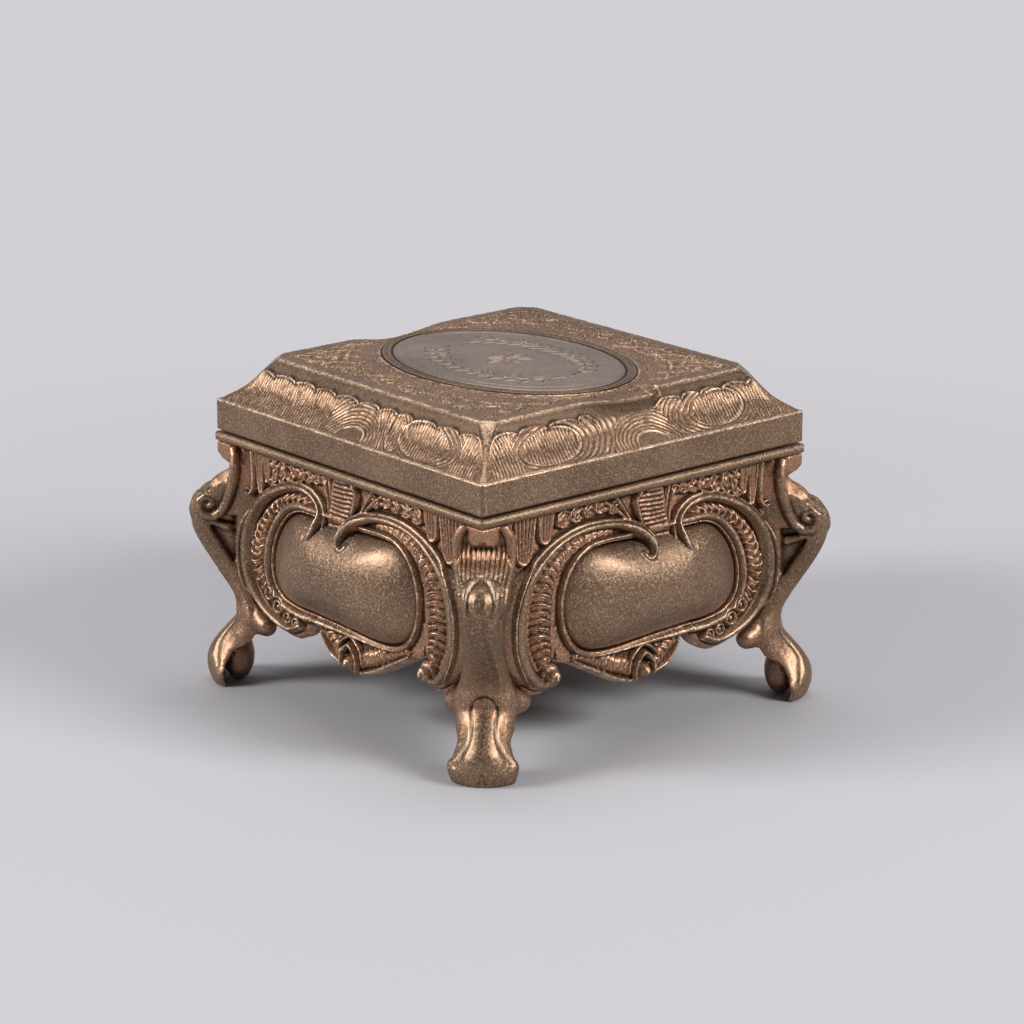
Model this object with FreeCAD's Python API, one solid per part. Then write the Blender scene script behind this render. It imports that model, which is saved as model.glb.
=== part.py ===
import FreeCAD, Part
import math
import os

from FreeCAD import Vector

# Footed jewel casket: cast side panels between four scroll legs, a moulded rim,
# a hinged lid with an oval medallion, and a padded well. Millimetres, +Z up,
# origin on the ground under the centre, front towards -Y.

# Overall heights and the lid
LID_SIDE = 84.0
SEAT_HEIGHT = 53.2            # ground to the underside of the closed lid
LID_GAP = 0.4                 # dark line between lid and rim
FASCIA_HEIGHT = 6.5
SLOPE_HEIGHT = 9.0
SLOPE_INSET = 8.0             # fascia face to the edge of the top
SLOPE_SAG = 1.3               # hollow of the slope below its chord
FASCIA_ROUND = 0.5
LID_CORNER_ROUND = 0.7
LID_WALL = 2.4
MITRE_FLAT_TOP = 2.2          # depth of the flat on the slope's corners
MITRE_FLAT_BASE = 0.7
OPEN_ANGLE = 105.0            # degrees, lid against the hinge stop

# Rim
RIM_PROUD = 0.4               # rim beyond the lid fascia
RIM_HEIGHT = 2.0
RIM_OVERHANG = 3.0            # rim beyond the face of the panels
RIM_UNDERCUT = 0.8
RIM_TOP_ROUND = 0.6
RIM_CORNER_ROUND = 1.0
BEAD_WIDTH = 1.8              # upstand that locates the lid
BEAD_HEIGHT = 1.2
BEAD_CLEARANCE = 0.4

# Side panels
PANEL_WALL = 3.2
APRON_CLEARANCE = 12.0        # ground to the pendant of the apron
BOSS_HEIGHT = 5.6
PLINTH_HEIGHT = 0.9
SCROLL_HALF_WIDTH = 2.0
SCROLL_HEIGHT = 2.7
RUFFLE_HALF_WIDTH = 2.4
RUFFLE_HEIGHT = 1.4
TIP_RADIUS = 1.2
VOLUTE_RADIUS = 1.9
SHELL_HEIGHT = 1.5
SHELL_RIB_HEIGHT = 0.28
SHELL_RIB_COUNT = 12
SPRAY_HALF_WIDTH = 1.9
SPRAY_HEIGHT = 1.5
LOBE_RADIUS = 1.9
LOBE_SINK = 0.6
RELIEF_SINK = 0.5             # root of raised work inside the plate

# Corner legs
KNEE_REACH = 9.2              # knee beyond the corner of the panels, on the diagonal
STRIP_HALF_WIDTH = 7.5
STRIP_THICKNESS = 3.0
STRIP_DROP = 4.0              # edges of the strip behind its crest, at the foot
LEG_WEB = 4.6
FAN_HALF_WIDTH = 6.6
KNEE_DISC_RADIUS = 2.9
KNEE_DISC_PROUD = 0.5
KNEE_EYE_RADIUS = 1.2
KNEE_EYE_PROUD = 1.0
EAR_ROOT_RADIUS = 2.4
EAR_TIP_RADIUS = 1.9
HEEL_HALF_DEPTH = 3.7         # rounded back of the foot
HEEL_HALF_WIDTH = 4.8
HEEL_HALF_HEIGHT = 6.6
GUSSET_WIDTH = 5.0
GUSSET_DEPTH = 4.3
GUSSET_REACH = 10.0           # gusset inwards of the panels' inner corner
LUG_SIDE = 6.0
LUG_HEIGHT = 1.7
FLOOR_HEIGHT = 19.5           # ground to the underside of the floor plate

# Floor and lining
FLOOR_THICKNESS = 1.2
FLOOR_CLEARANCE = 0.2
LINING_THICKNESS = 1.0
LINING_CLEARANCE = 0.2
BOARD_THICKNESS = 1.0
BOARD_CLEARANCE = 0.3
PAD_CLEARANCE = 0.4
FLOOR_PAD_HEIGHT = 4.2
LID_PAD_HEIGHT = 7.0

# Hinge
HINGE_LENGTH = 36.0
KNUCKLE_COUNT = 5
KNUCKLE_RADIUS = 1.5
KNUCKLE_GAP = 0.2
BARREL_CLEARANCE = 0.3        # barrel to the back of the rim
PIN_RADIUS = 0.6
PIN_CLEARANCE = 0.05
PIN_HEAD_LENGTH = 0.5
LEAF_THICKNESS = 0.8
LEAF_DEPTH = 4.6              # leaf across the rim
STOP_LENGTH = 1.6
STOP_CLEARANCE = 0.15

# Screws
RIM_SCREW_RADIUS = 0.8
RIM_SCREW_HEAD = 1.0
RIM_SCREW_LENGTH = 8.0
FLOOR_SCREW_RADIUS = 0.8
FLOOR_SCREW_HEAD = 1.7
FLOOR_SCREW_LENGTH = 5.0
HINGE_SCREW_RADIUS = 0.5
HINGE_SCREW_HEAD = 1.0
LOWER_SCREW_LENGTH = 2.0
UPPER_SCREW_LENGTH = 3.5

# Medallion
MEDALLION_HALF_X = 19.6
MEDALLION_HALF_Y = 27.7
MEDALLION_EDGE = 1.1          # plate's thickness at its edge
MEDALLION_CROWN = 0.5
BEZEL_WIDTH = 2.4
BEZEL_HEIGHT = 1.0
BEZEL_ROUND = 0.35
BEZEL_CLEARANCE = 0.1
MEDALLION_SEAT = 0.6          # recess in the lid's top

CUT_OVERRUN = 2.0

# Outline of the apron: shares of the panel's half width and of its rise.
# Each row of points is one smooth run, and the runs meet in cusps.
FAR_LOBE_SHARES = [(1.0, 0.245), (0.94, 0.227), (0.87, 0.188), (0.80, 0.144), (0.75, 0.108),
                   (0.66, 0.07), (0.54, 0.062), (0.46, 0.09), (0.39, 0.139), (0.37, 0.175)]
PENDANT_SHARES = [(0.37, 0.175), (0.32, 0.168), (0.28, 0.142), (0.24, 0.098), (0.19, 0.052),
                  (0.11, 0.026), (0.0, 0.0), (-0.07, 0.01), (-0.15, 0.028), (-0.22, 0.059),
                  (-0.34, 0.116), (-0.48, 0.175), (-0.59, 0.2)]
NEAR_LOBE_SHARES = [(-0.59, 0.2), (-0.60, 0.155), (-0.615, 0.119), (-0.67, 0.082), (-0.76, 0.088),
                    (-0.84, 0.124), (-0.91, 0.186), (-0.96, 0.222), (-1.0, 0.245)]

# Boss: its outline, and the scale and height of the sections of its swell.
BOSS_OUTLINE_SHARES = [(-0.62, 0.46), (-0.60, 0.60), (-0.52, 0.71), (-0.40, 0.765), (-0.26, 0.77),
                       (-0.12, 0.75), (0.03, 0.735), (0.18, 0.74), (0.32, 0.755), (0.44, 0.755),
                       (0.54, 0.71), (0.61, 0.62), (0.645, 0.52), (0.645, 0.43), (0.605, 0.345),
                       (0.52, 0.285), (0.40, 0.26), (0.22, 0.25), (0.03, 0.25), (-0.16, 0.25),
                       (-0.34, 0.245), (-0.48, 0.265), (-0.575, 0.33)]
BOSS_CENTRE_SHARE = (0.01, 0.49)
BOSS_SWELL_SHARES = [(1.0, 0.0), (0.985, 0.28), (0.93, 0.54), (0.82, 0.76), (0.64, 0.91), (0.42, 0.98),
                     (0.18, 1.0)]
PLINTH_SHARE = 1.05

# Raised bands: (across, up, half width, height), the last two as shares of the band's own.
NEAR_SCROLL_SHARES = [(-0.005, 0.695, 0.45, 1.35), (-0.02, 0.755, 0.45, 1.1), (-0.085, 0.817, 0.42, 0.8),
                      (-0.19, 0.856, 0.4, 0.7), (-0.345, 0.87, 0.4, 0.7), (-0.50, 0.856, 0.45, 0.75),
                      (-0.62, 0.807, 0.6, 0.85), (-0.73, 0.735, 0.8, 0.95), (-0.83, 0.64, 0.95, 1.0),
                      (-0.89, 0.515, 0.95, 1.0), (-0.91, 0.39, 1.0, 1.0), (-0.895, 0.28, 1.0, 1.0),
                      (-0.845, 0.2, 0.9, 0.95), (-0.76, 0.142, 0.65, 0.9), (-0.68, 0.138, 0.5, 0.8)]
FAR_SCROLL_SHARES = [(0.293, 0.665, 0.4, 1.35), (0.25, 0.735, 0.4, 1.1), (0.246, 0.81, 0.42, 0.8),
                     (0.30, 0.856, 0.45, 0.7), (0.387, 0.87, 0.45, 0.7), (0.51, 0.862, 0.45, 0.7),
                     (0.635, 0.825, 0.5, 0.75), (0.75, 0.75, 0.6, 0.85), (0.84, 0.645, 0.75, 0.95),
                     (0.895, 0.515, 0.8, 1.0), (0.905, 0.395, 0.8, 1.0), (0.865, 0.285, 0.8, 1.0),
                     (0.78, 0.195, 0.7, 0.95), (0.67, 0.134, 0.65, 0.9), (0.55, 0.115, 0.55, 0.85),
                     (0.465, 0.142, 0.5, 0.8)]
NEAR_RUFFLE_SHARES = [(-0.25, 0.822, 0.2, 0.5), (-0.387, 0.825, 0.25, 0.6), (-0.525, 0.79, 0.38, 0.7),
                      (-0.65, 0.705, 0.67, 0.85), (-0.73, 0.605, 0.92, 1.0), (-0.775, 0.49, 1.0, 1.0),
                      (-0.78, 0.387, 1.0, 1.0), (-0.76, 0.28, 0.9, 1.0), (-0.705, 0.206, 0.62, 0.8)]
FAR_RUFFLE_SHARES = [(0.345, 0.812, 0.3, 0.5), (0.44, 0.82, 0.3, 0.6), (0.55, 0.784, 0.42, 0.7),
                     (0.663, 0.70, 0.62, 0.85), (0.746, 0.603, 0.8, 1.0), (0.79, 0.49, 0.83, 1.0),
                     (0.79, 0.387, 0.83, 1.0), (0.746, 0.29, 0.8, 1.0), (0.65, 0.211, 0.75, 0.9),
                     (0.54, 0.17, 0.58, 0.8)]
SPRAY_SHARES = [
    [(-0.03, 0.09, 0.7, 0.9), (-0.17, 0.115, 0.9, 1.0), (-0.31, 0.17, 0.8, 0.9), (-0.46, 0.225, 0.4, 0.6)],
    [(0.05, 0.09, 0.7, 0.9), (0.14, 0.115, 0.8, 1.0), (0.22, 0.155, 0.75, 0.9), (0.30, 0.21, 0.4, 0.6)],
    [(0.015, 0.225, 0.6, 0.8), (0.01, 0.15, 1.0, 1.2), (0.005, 0.085, 0.9, 1.2), (0.0, 0.035, 0.45, 0.8)],
]
# Round ends of the scrolls: (across, up, level above the panel).
TIP_SHARES = [(-0.005, 0.69, 1.9), (0.297, 0.655, 1.9)]
VOLUTE_SHARES = [(-0.655, 0.155, 0.3), (0.44, 0.16, 0.3)]

# Shell under the rim and the row of lobes beside it.
SHELL_OUTLINE_SHARES = [(-0.085, 0.975), (0.085, 0.975), (0.11, 0.885), (0.145, 0.81), (0.175, 0.755),
                        (0.045, 0.745), (-0.03, 0.815), (-0.07, 0.89)]
LOBE_SHARES = [(-0.82, 0.93, 1.0), (-0.71, 0.94, 0.95), (-0.60, 0.955, 0.8), (-0.48, 0.96, 0.75),
               (-0.34, 0.965, 0.65), (0.23, 0.96, 0.65), (0.33, 0.96, 0.7), (0.43, 0.96, 0.75),
               (0.54, 0.955, 0.8), (0.65, 0.945, 0.95), (0.77, 0.935, 1.0)]

# Leg strip along its crest: (reach, height, half width, thickness, drop of the edges).
STRIP_SHARES = [(0.10, 0.812, 0.35, 0.7, 0.30), (0.38, 0.822, 0.43, 0.8, 0.35),
                (0.66, 0.812, 0.49, 0.9, 0.40), (0.88, 0.778, 0.52, 1.0, 0.40),
                (0.99, 0.727, 0.53, 1.0, 0.40), (0.976, 0.672, 0.52, 1.0, 0.40),
                (0.857, 0.613, 0.51, 1.0, 0.40), (0.60, 0.537, 0.52, 1.03, 0.40),
                (0.25, 0.437, 0.56, 1.1, 0.42), (0.04, 0.37, 0.64, 1.15, 0.45),
                (-0.02, 0.323, 0.72, 1.2, 0.50), (0.05, 0.276, 0.78, 1.2, 0.6),
                (0.27, 0.232, 0.79, 1.15, 0.7), (0.51, 0.181, 0.83, 1.1, 0.8),
                (0.67, 0.122, 0.92, 1.05, 0.95), (0.715, 0.067, 1.0, 1.0, 1.0),
                (0.62, 0.012, 0.90, 1.0, 1.0), (0.56, -0.012, 0.84, 1.0, 1.0)]
WEB_ROWS = 12                 # rows of the strip that the web reaches
WEB_SINK_SHARE = 0.5          # web's edge inside the strip
# Hollow neck: (height, half width, reach of its edges, reach of its middle).
FAN_SHARES = [(1.0, 0.67, -0.01, 0.40), (0.972, 0.76, 0.0, 0.36), (0.941, 0.88, 0.03, 0.17),
              (0.909, 0.97, 0.085, 0.03), (0.882, 1.0, 0.10, 0.02), (0.854, 0.97, 0.18, 0.12),
              (0.823, 0.85, 0.32, 0.33), (0.78, 0.70, 0.465, 0.51)]
FAN_BACK_SHARE = -0.53        # back of the neck behind the panels' corner
FAN_BACK_WIDTH_SHARE = 0.76
KNEE_DISC_SHARE = (0.487, 0.75)
# Ears beside the ankle, root and tip: (reach, height, share of the strip's half width aside).
EAR_SHARES = [(-0.122, 0.300, 0.48), (-0.774, 0.250, 0.88)]
HEEL_SHARE = (0.03, 0.087)

# Cushion: (height, half width) of its sections and how far its sides pull in.
CUSHION_SHARES = [(0.0, 0.965), (0.22, 0.995), (0.42, 1.0), (0.58, 0.985), (0.72, 0.945),
                  (0.83, 0.87), (0.91, 0.75), (0.965, 0.57), (0.99, 0.35), (1.0, 0.12)]
CUSHION_PULL_SHARE = 0.012

ROOT2 = math.sqrt(2.0)

# Levels and half sizes that follow from the values above
lid_half = LID_SIDE / 2
rim_half = lid_half + RIM_PROUD
panel_face = rim_half - RIM_OVERHANG
panel_back = panel_face - PANEL_WALL
well_half = panel_back - LINING_CLEARANCE - LINING_THICKNESS
bead_half = well_half + BEAD_WIDTH

rim_top = SEAT_HEIGHT - LID_GAP
rim_base = rim_top - RIM_HEIGHT
bead_top = rim_top + BEAD_HEIGHT
fascia_top = SEAT_HEIGHT + FASCIA_HEIGHT
lid_top = fascia_top + SLOPE_HEIGHT
top_half = lid_half - SLOPE_INSET
panel_rise = rim_base - APRON_CLEARANCE
corner_reach = panel_face * ROOT2
floor_top = FLOOR_HEIGHT + FLOOR_THICKNESS
gusset_top = FLOOR_HEIGHT - LUG_HEIGHT

hinge_y = rim_half + BARREL_CLEARANCE + KNUCKLE_RADIUS
hinge_z = rim_top + LID_GAP / 2
leaf_front = rim_half - LEAF_DEPTH
knuckle_pitch = HINGE_LENGTH / KNUCKLE_COUNT

rim_screw_place = (panel_back + panel_face) / 2
floor_screw_place = panel_back - FLOOR_CLEARANCE - LUG_SIDE / 2
cavity_top = lid_top - LID_WALL
cavity_top_half = top_half - LID_WALL


def polygon_face(points):
    """Flat face inside straight sides."""
    return Part.Face(Part.makePolygon(points + points[:1]))


def block(low, high):
    """Box between two opposite corners."""
    size = high.sub(low)
    return Part.makeBox(size.x, size.y, size.z, low)


def square_block(half, low_z, high_z):
    """Square box on the centre line."""
    return block(Vector(-half, -half, low_z), Vector(half, half, high_z))


def smooth_edge(points, closed=False):
    """Edge of a smooth curve through points."""
    curve = Part.BSplineCurve()
    curve.interpolate(Points=points, PeriodicFlag=closed)
    return curve.toShape()


def bow_edge(start, through, end):
    """Shallow bowed edge whose middle is at a given point."""
    pull = through.multiply(2).sub(start.add(end).multiply(0.5))
    curve = Part.BezierCurve()
    curve.setPoles([start, pull, end])
    return curve.toShape()


def tangents(points):
    """Unit tangents of the smooth curve through points, at those points."""
    curve = Part.BSplineCurve()
    curve.interpolate(Points=points)
    return [curve.tangent(curve.parameter(p))[0] for p in points]


def one_solid(shape):
    """The single solid of a joined shape."""
    clean = shape.removeSplitter()
    return clean.Solids[0] if len(clean.Solids) == 1 else clean


def around(shape, turn):
    """Copy turned about the centre line by a number of degrees."""
    copy = shape.copy()
    copy.rotate(Vector(0, 0, 0), Vector(0, 0, 1), turn)
    return copy


def across_diagonal(shape):
    """Copy mirrored in the vertical plane through the near corner."""
    return shape.mirror(Vector(0, 0, 0), Vector(1, -1, 0))


def countersunk(place, radius, head, length, direction):
    """Countersunk screw whose flat head lies at place and which points along direction."""
    cone = Part.makeCone(head, radius, head - radius, place, direction)
    shank = Part.makeCylinder(radius, length, place, direction)
    return one_solid(cone.fuse(shank))


def face_point(across, up, out):
    """Point on the front panel, from shares across and up and a level outwards."""
    return Vector(across * panel_back, -out, APRON_CLEARANCE + up * panel_rise)


def band(rows, half_width, height):
    """Raised round-backed band on the front panel, tapered along its rows."""
    root = panel_face - RELIEF_SINK
    spine = [face_point(row[0], row[1], root) for row in rows]
    wires = []
    for centre, along, row in zip(spine, tangents(spine), rows):
        side = along.cross(Vector(0, 1, 0)).multiply(row[2] * half_width)
        rise = RELIEF_SINK + height * row[3]
        left = centre.sub(side)
        right = centre.add(side)
        crest = centre.add(Vector(0, -rise, 0))
        wires.append(Part.Wire([bow_edge(left, crest, right), Part.makeLine(right, left)]))
    return Part.makeLoft(wires, True, False)


def raised_face(edges, low, high):
    """Solid between two levels outwards on the front panel, from a closed outline at the low one."""
    return Part.Face(Part.Wire(edges)).extrude(Vector(0, low - high, 0))


def panel_plate():
    """Flat back plate with the lobed lower edge."""
    runs = [FAR_LOBE_SHARES, PENDANT_SHARES, NEAR_LOBE_SHARES]
    edges = [smooth_edge([face_point(across, up, panel_back) for across, up in run]) for run in runs]
    corners = [face_point(-1, NEAR_LOBE_SHARES[-1][1], panel_back), face_point(-1, 1, panel_back),
               face_point(1, 1, panel_back), face_point(1, FAR_LOBE_SHARES[0][1], panel_back)]
    edges += [Part.makeLine(a, b) for a, b in zip(corners, corners[1:])]
    return raised_face(edges, panel_back, panel_face)


def boss_outline(scale, out):
    """Closed edge of the boss, scaled about its centre, at a level outwards."""
    middle_across, middle_up = BOSS_CENTRE_SHARE
    points = [face_point(middle_across + (across - middle_across) * scale,
                         middle_up + (up - middle_up) * scale, out)
              for across, up in BOSS_OUTLINE_SHARES]
    return smooth_edge(points, closed=True)


def boss():
    """Smooth pillow of the panel, swelling from a low plinth."""
    root = panel_face - RELIEF_SINK
    swell = BOSS_HEIGHT + RELIEF_SINK
    wires = [Part.Wire(boss_outline(scale, root + share * swell))
             for scale, share in BOSS_SWELL_SHARES]
    plinth = raised_face([boss_outline(PLINTH_SHARE, root)], root, panel_face + PLINTH_HEIGHT)
    return [Part.makeLoft(wires, True, False), plinth]


def shell():
    """Ribbed shell under the rim."""
    root = panel_face - RELIEF_SINK
    outline = [face_point(across, up, root) for across, up in SHELL_OUTLINE_SHARES]
    tongue = polygon_face(outline).extrude(Vector(0, -SHELL_HEIGHT - CUT_OVERRUN, 0))
    lowest = min(point.z for point in outline)
    pitch = (max(point.z for point in outline) - lowest) / SHELL_RIB_COUNT
    left = min(point.x for point in outline) - CUT_OVERRUN
    width = max(point.x for point in outline) + CUT_OVERRUN - left
    face = panel_face + SHELL_HEIGHT
    steps = [Vector(left, -face, lowest + pitch * index) for index in range(SHELL_RIB_COUNT + 1)]
    edges = []
    for low, high in zip(steps, steps[1:]):
        middle = low.add(high).multiply(0.5).add(Vector(0, -SHELL_RIB_HEIGHT, 0))
        edges.append(Part.Arc(low, middle, high).toShape())
    inner = [Vector(left, 0, steps[-1].z), Vector(left, 0, steps[0].z)]
    edges += [Part.makeLine(steps[-1], inner[0]), Part.makeLine(*inner),
              Part.makeLine(inner[1], steps[0])]
    ribs = Part.Face(Part.Wire(edges)).extrude(Vector(width, 0, 0))
    return tongue.common(ribs)


def front_panel():
    """Cast panel with all its raised work joined to the plate."""
    raised = boss() + [shell()]
    raised += [band(NEAR_SCROLL_SHARES, SCROLL_HALF_WIDTH, SCROLL_HEIGHT),
               band(FAR_SCROLL_SHARES, SCROLL_HALF_WIDTH, SCROLL_HEIGHT),
               band(NEAR_RUFFLE_SHARES, RUFFLE_HALF_WIDTH, RUFFLE_HEIGHT),
               band(FAR_RUFFLE_SHARES, RUFFLE_HALF_WIDTH, RUFFLE_HEIGHT)]
    raised += [band(rows, SPRAY_HALF_WIDTH, SPRAY_HEIGHT) for rows in SPRAY_SHARES]
    for radius, table in ((TIP_RADIUS, TIP_SHARES), (VOLUTE_RADIUS, VOLUTE_SHARES)):
        raised += [Part.makeSphere(radius, face_point(across, up, panel_face + level * radius))
                   for across, up, level in table]
    raised += [Part.makeSphere(share * LOBE_RADIUS, face_point(across, up, panel_face - LOBE_SINK))
               for across, up, share in LOBE_SHARES]
    body = panel_plate().multiFuse(raised)
    behind = square_block(panel_back, APRON_CLEARANCE - CUT_OVERRUN, rim_base + CUT_OVERRUN)
    above = square_block(rim_half + BOSS_HEIGHT, rim_base, rim_base + CUT_OVERRUN)
    return one_solid(body.cut(behind).cut(above))


def leg_point(reach, height, aside=0.0):
    """Point of the leg on the +X diagonal plane: reach from the panels' corner, height share."""
    return Vector(corner_reach + reach * KNEE_REACH, aside, height * rim_base)


def lens_wire(crest, outward, half_width, thickness, drop):
    """Lens or crescent across the leg, from the crest inwards."""
    edge = crest.sub(outward * drop)
    left = edge.sub(Vector(0, half_width, 0))
    right = edge.add(Vector(0, half_width, 0))
    back = crest.sub(outward * thickness)
    return Part.Wire([bow_edge(left, Vector(crest), right), bow_edge(right, back, left)])


def strip_frames():
    """Crest points of the strip with their outward directions."""
    crests = [leg_point(row[0], row[1]) for row in STRIP_SHARES]
    return [(crest, along.cross(Vector(0, 1, 0))) for crest, along in zip(crests, tangents(crests))]


def leg_strip():
    """S-shaped strip from the knee scroll to the flared foot."""
    wires = []
    for (crest, outward), row in zip(strip_frames(), STRIP_SHARES):
        wires.append(lens_wire(crest, outward, row[2] * STRIP_HALF_WIDTH,
                               row[3] * STRIP_THICKNESS, row[4] * STRIP_DROP))
    return Part.makeLoft(wires, True, False)


def leg_web():
    """Plate that fills the S between the strip and the panels' corner."""
    sink = WEB_SINK_SHARE * STRIP_THICKNESS
    outer = [crest.sub(outward * sink) for crest, outward in strip_frames()[:WEB_ROWS]]
    inner_reach = panel_back * ROOT2 + LEG_WEB / 2
    points = [Vector(inner_reach, 0, rim_base)] + outer + [Vector(inner_reach, 0, outer[-1].z)]
    plate = polygon_face([point.sub(Vector(0, LEG_WEB / 2, 0)) for point in points])
    return plate.extrude(Vector(0, LEG_WEB, 0))


def leg_fan():
    """Hollow neck under the rim, between two raised edges that run down into the knee."""
    wires = []
    for height, width, edge, middle in FAN_SHARES:
        half = width * FAN_HALF_WIDTH
        back_half = half * FAN_BACK_WIDTH_SHARE
        corners = [leg_point(edge, height, half), leg_point(FAN_BACK_SHARE, height, back_half),
                   leg_point(FAN_BACK_SHARE, height, -back_half), leg_point(edge, height, -half)]
        front = bow_edge(corners[-1], leg_point(middle, height), corners[0])
        wires.append(Part.Wire([front] + [Part.makeLine(a, b) for a, b in zip(corners, corners[1:])]))
    return Part.makeLoft(wires, True, False)


def knee_discs():
    """Scroll discs with eyes on both sides of the knee."""
    place = leg_point(*KNEE_DISC_SHARE)
    strip_half = STRIP_HALF_WIDTH * STRIP_SHARES[3][2]
    discs = []
    for radius, proud in [(KNEE_DISC_RADIUS, KNEE_DISC_PROUD), (KNEE_EYE_RADIUS, KNEE_EYE_PROUD)]:
        half = strip_half + proud
        start = place.sub(Vector(0, half, 0))
        discs.append(Part.makeCylinder(radius, half * 2, start, Vector(0, 1, 0)))
    return discs


def leg_ear(side):
    """Tapered roll from the ankle to the foot of a panel, with round ends, on one side of the leg."""
    (root_reach, root_height, root_aside), (tip_reach, tip_height, tip_aside) = EAR_SHARES
    root = leg_point(root_reach, root_height, side * root_aside * STRIP_HALF_WIDTH)
    tip = leg_point(tip_reach, tip_height, side * tip_aside * STRIP_HALF_WIDTH)
    along = tip.sub(root)
    roll = Part.makeCone(EAR_ROOT_RADIUS, EAR_TIP_RADIUS, along.Length, root, along)
    return [roll, Part.makeSphere(EAR_ROOT_RADIUS, root), Part.makeSphere(EAR_TIP_RADIUS, tip)]


def leg_heel():
    """Rounded back of the foot."""
    stretch = FreeCAD.Matrix()
    stretch.scale(HEEL_HALF_DEPTH, HEEL_HALF_WIDTH, HEEL_HALF_HEIGHT)
    heel = Part.makeSphere(1).transformGeometry(stretch)
    heel.translate(leg_point(*HEEL_SHARE))
    return heel


def leg_gusset():
    """Bracket inwards of the corner, with the lug that carries the floor plate."""
    inner = panel_back * ROOT2 - GUSSET_REACH
    low = Vector(inner, -GUSSET_WIDTH / 2, gusset_top - GUSSET_DEPTH)
    bracket = block(low, Vector(corner_reach - STRIP_THICKNESS / 2, GUSSET_WIDTH / 2, gusset_top))
    lug_outer = panel_back - FLOOR_CLEARANCE
    lug_inner = lug_outer - LUG_SIDE
    lug = block(Vector(lug_inner, -lug_outer, gusset_top - LUG_HEIGHT),
                Vector(lug_outer, -lug_inner, FLOOR_HEIGHT))
    return [bracket], [lug]


def leg():
    """Corner leg at the front right corner, with its post, strip, neck, ears and floor bracket."""
    on_diagonal, on_square = leg_gusset()
    on_diagonal += [leg_strip(), leg_web(), leg_fan(), leg_heel()] + knee_discs()
    on_diagonal += leg_ear(-1) + leg_ear(1)
    post = block(Vector(panel_back, -panel_face, gusset_top - LUG_HEIGHT),
                 Vector(panel_face, -panel_back, rim_base))
    turned = [around(shape, -45) for shape in on_diagonal]
    body = post.multiFuse(turned + on_square)
    reach = corner_reach + KNEE_REACH
    below = square_block(reach, -rim_base, 0)
    above = square_block(reach, rim_base, SEAT_HEIGHT)
    body = body.cut(below).cut(above)
    # Room for the two panels: behind their face all the way up, and beside their raised work
    panel_foot = APRON_CLEARANCE + NEAR_LOBE_SHARES[-2][1] * panel_rise
    inside = block(Vector(-reach, -panel_face, FLOOR_HEIGHT), Vector(panel_back, reach, rim_base))
    beside = block(Vector(-reach, -reach, panel_foot),
                   Vector(panel_back, -panel_back, KNEE_DISC_SHARE[1] * rim_base))
    for room in (inside, beside):
        body = body.cut(room).cut(room.mirror(Vector(0, 0, 0), Vector(1, 1, 0)))
    body = body.cut(corner_screws_at(RIM_SCREW)).cut(corner_screws_at(FLOOR_SCREW))
    return one_solid(body)


RIM_SCREW = (rim_screw_place, rim_top, RIM_SCREW_RADIUS, RIM_SCREW_HEAD, RIM_SCREW_LENGTH)
FLOOR_SCREW = (floor_screw_place, floor_top, FLOOR_SCREW_RADIUS, FLOOR_SCREW_HEAD, FLOOR_SCREW_LENGTH)


def corner_screws_at(kind):
    """Screw at the front right corner, pointing down."""
    place, level, radius, head, length = kind
    return countersunk(Vector(place, -place, level), radius, head, length, Vector(0, 0, -1))


def corner_screws(kind):
    """The four alike screws of the corners."""
    return [around(corner_screws_at(kind), turn) for turn in (0, 90, 180, 270)]


def moulded_block(profile, width):
    """Square solid whose four sides have the same profile, mitred at the corners."""
    side = profile.extrude(Vector(width * 2, 0, 0))
    side.translate(Vector(-width, 0, 0))
    return side.common(around(side, 90))


def rounded_prism(half, round_radius, low_z, high_z):
    """Square prism with rounded upright edges."""
    prism = square_block(half, low_z, high_z)
    upright = [edge for edge in prism.Edges if edge.BoundBox.ZLength > RIM_HEIGHT / 2]
    return prism.makeFillet(round_radius, upright)


def mirrored_profile(right_side):
    """Closed face across the YZ plane, from the edges of its right side, low to high."""
    left_side = [edge.mirror(Vector(0, 0, 0), Vector(0, 1, 0)) for edge in right_side]
    low = right_side[0].firstVertex().Point
    high = right_side[-1].lastVertex().Point
    low_line = Part.makeLine(Vector(0, -low.y, low.z), low)
    high_line = Part.makeLine(high, Vector(0, -high.y, high.z))
    wire = Part.Wire(Part.__sortEdges__([low_line, high_line] + right_side + left_side))
    return Part.Face(wire)


def rim_frame():
    """Moulded frame round the mouth with the upstand that locates the lid."""
    low = Vector(0, rim_half - RIM_UNDERCUT, rim_base)
    belly = Vector(0, rim_half, rim_top - RIM_HEIGHT / 2)
    top = Vector(0, rim_half - RIM_TOP_ROUND, rim_top)
    inner = Vector(0, bead_half, rim_top)
    upper = Vector(0, bead_half, bead_top)
    right_side = [Part.Arc(low, belly, top).toShape(), Part.makeLine(top, inner),
                  Part.makeLine(inner, upper)]
    frame = moulded_block(mirrored_profile(right_side), rim_half + CUT_OVERRUN)
    prism = rounded_prism(rim_half, RIM_CORNER_ROUND, rim_base - RIM_HEIGHT, bead_top + RIM_HEIGHT)
    frame = frame.common(prism)
    frame = frame.cut(square_block(well_half, rim_base - CUT_OVERRUN, bead_top + CUT_OVERRUN))
    room = leaf_plate(rim_half + CUT_OVERRUN, rim_top - LEAF_THICKNESS, rim_top + LID_GAP)
    frame = frame.cut(room)
    for screw in corner_screws(RIM_SCREW) + hinge_screws(-1):
        frame = frame.cut(screw)
    return one_solid(frame)


def floor_plate():
    """Sheet bottom on the lugs of the legs."""
    plate = square_block(panel_back - FLOOR_CLEARANCE, FLOOR_HEIGHT, floor_top)
    for screw in corner_screws(FLOOR_SCREW):
        plate = plate.cut(screw)
    return plate


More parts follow.
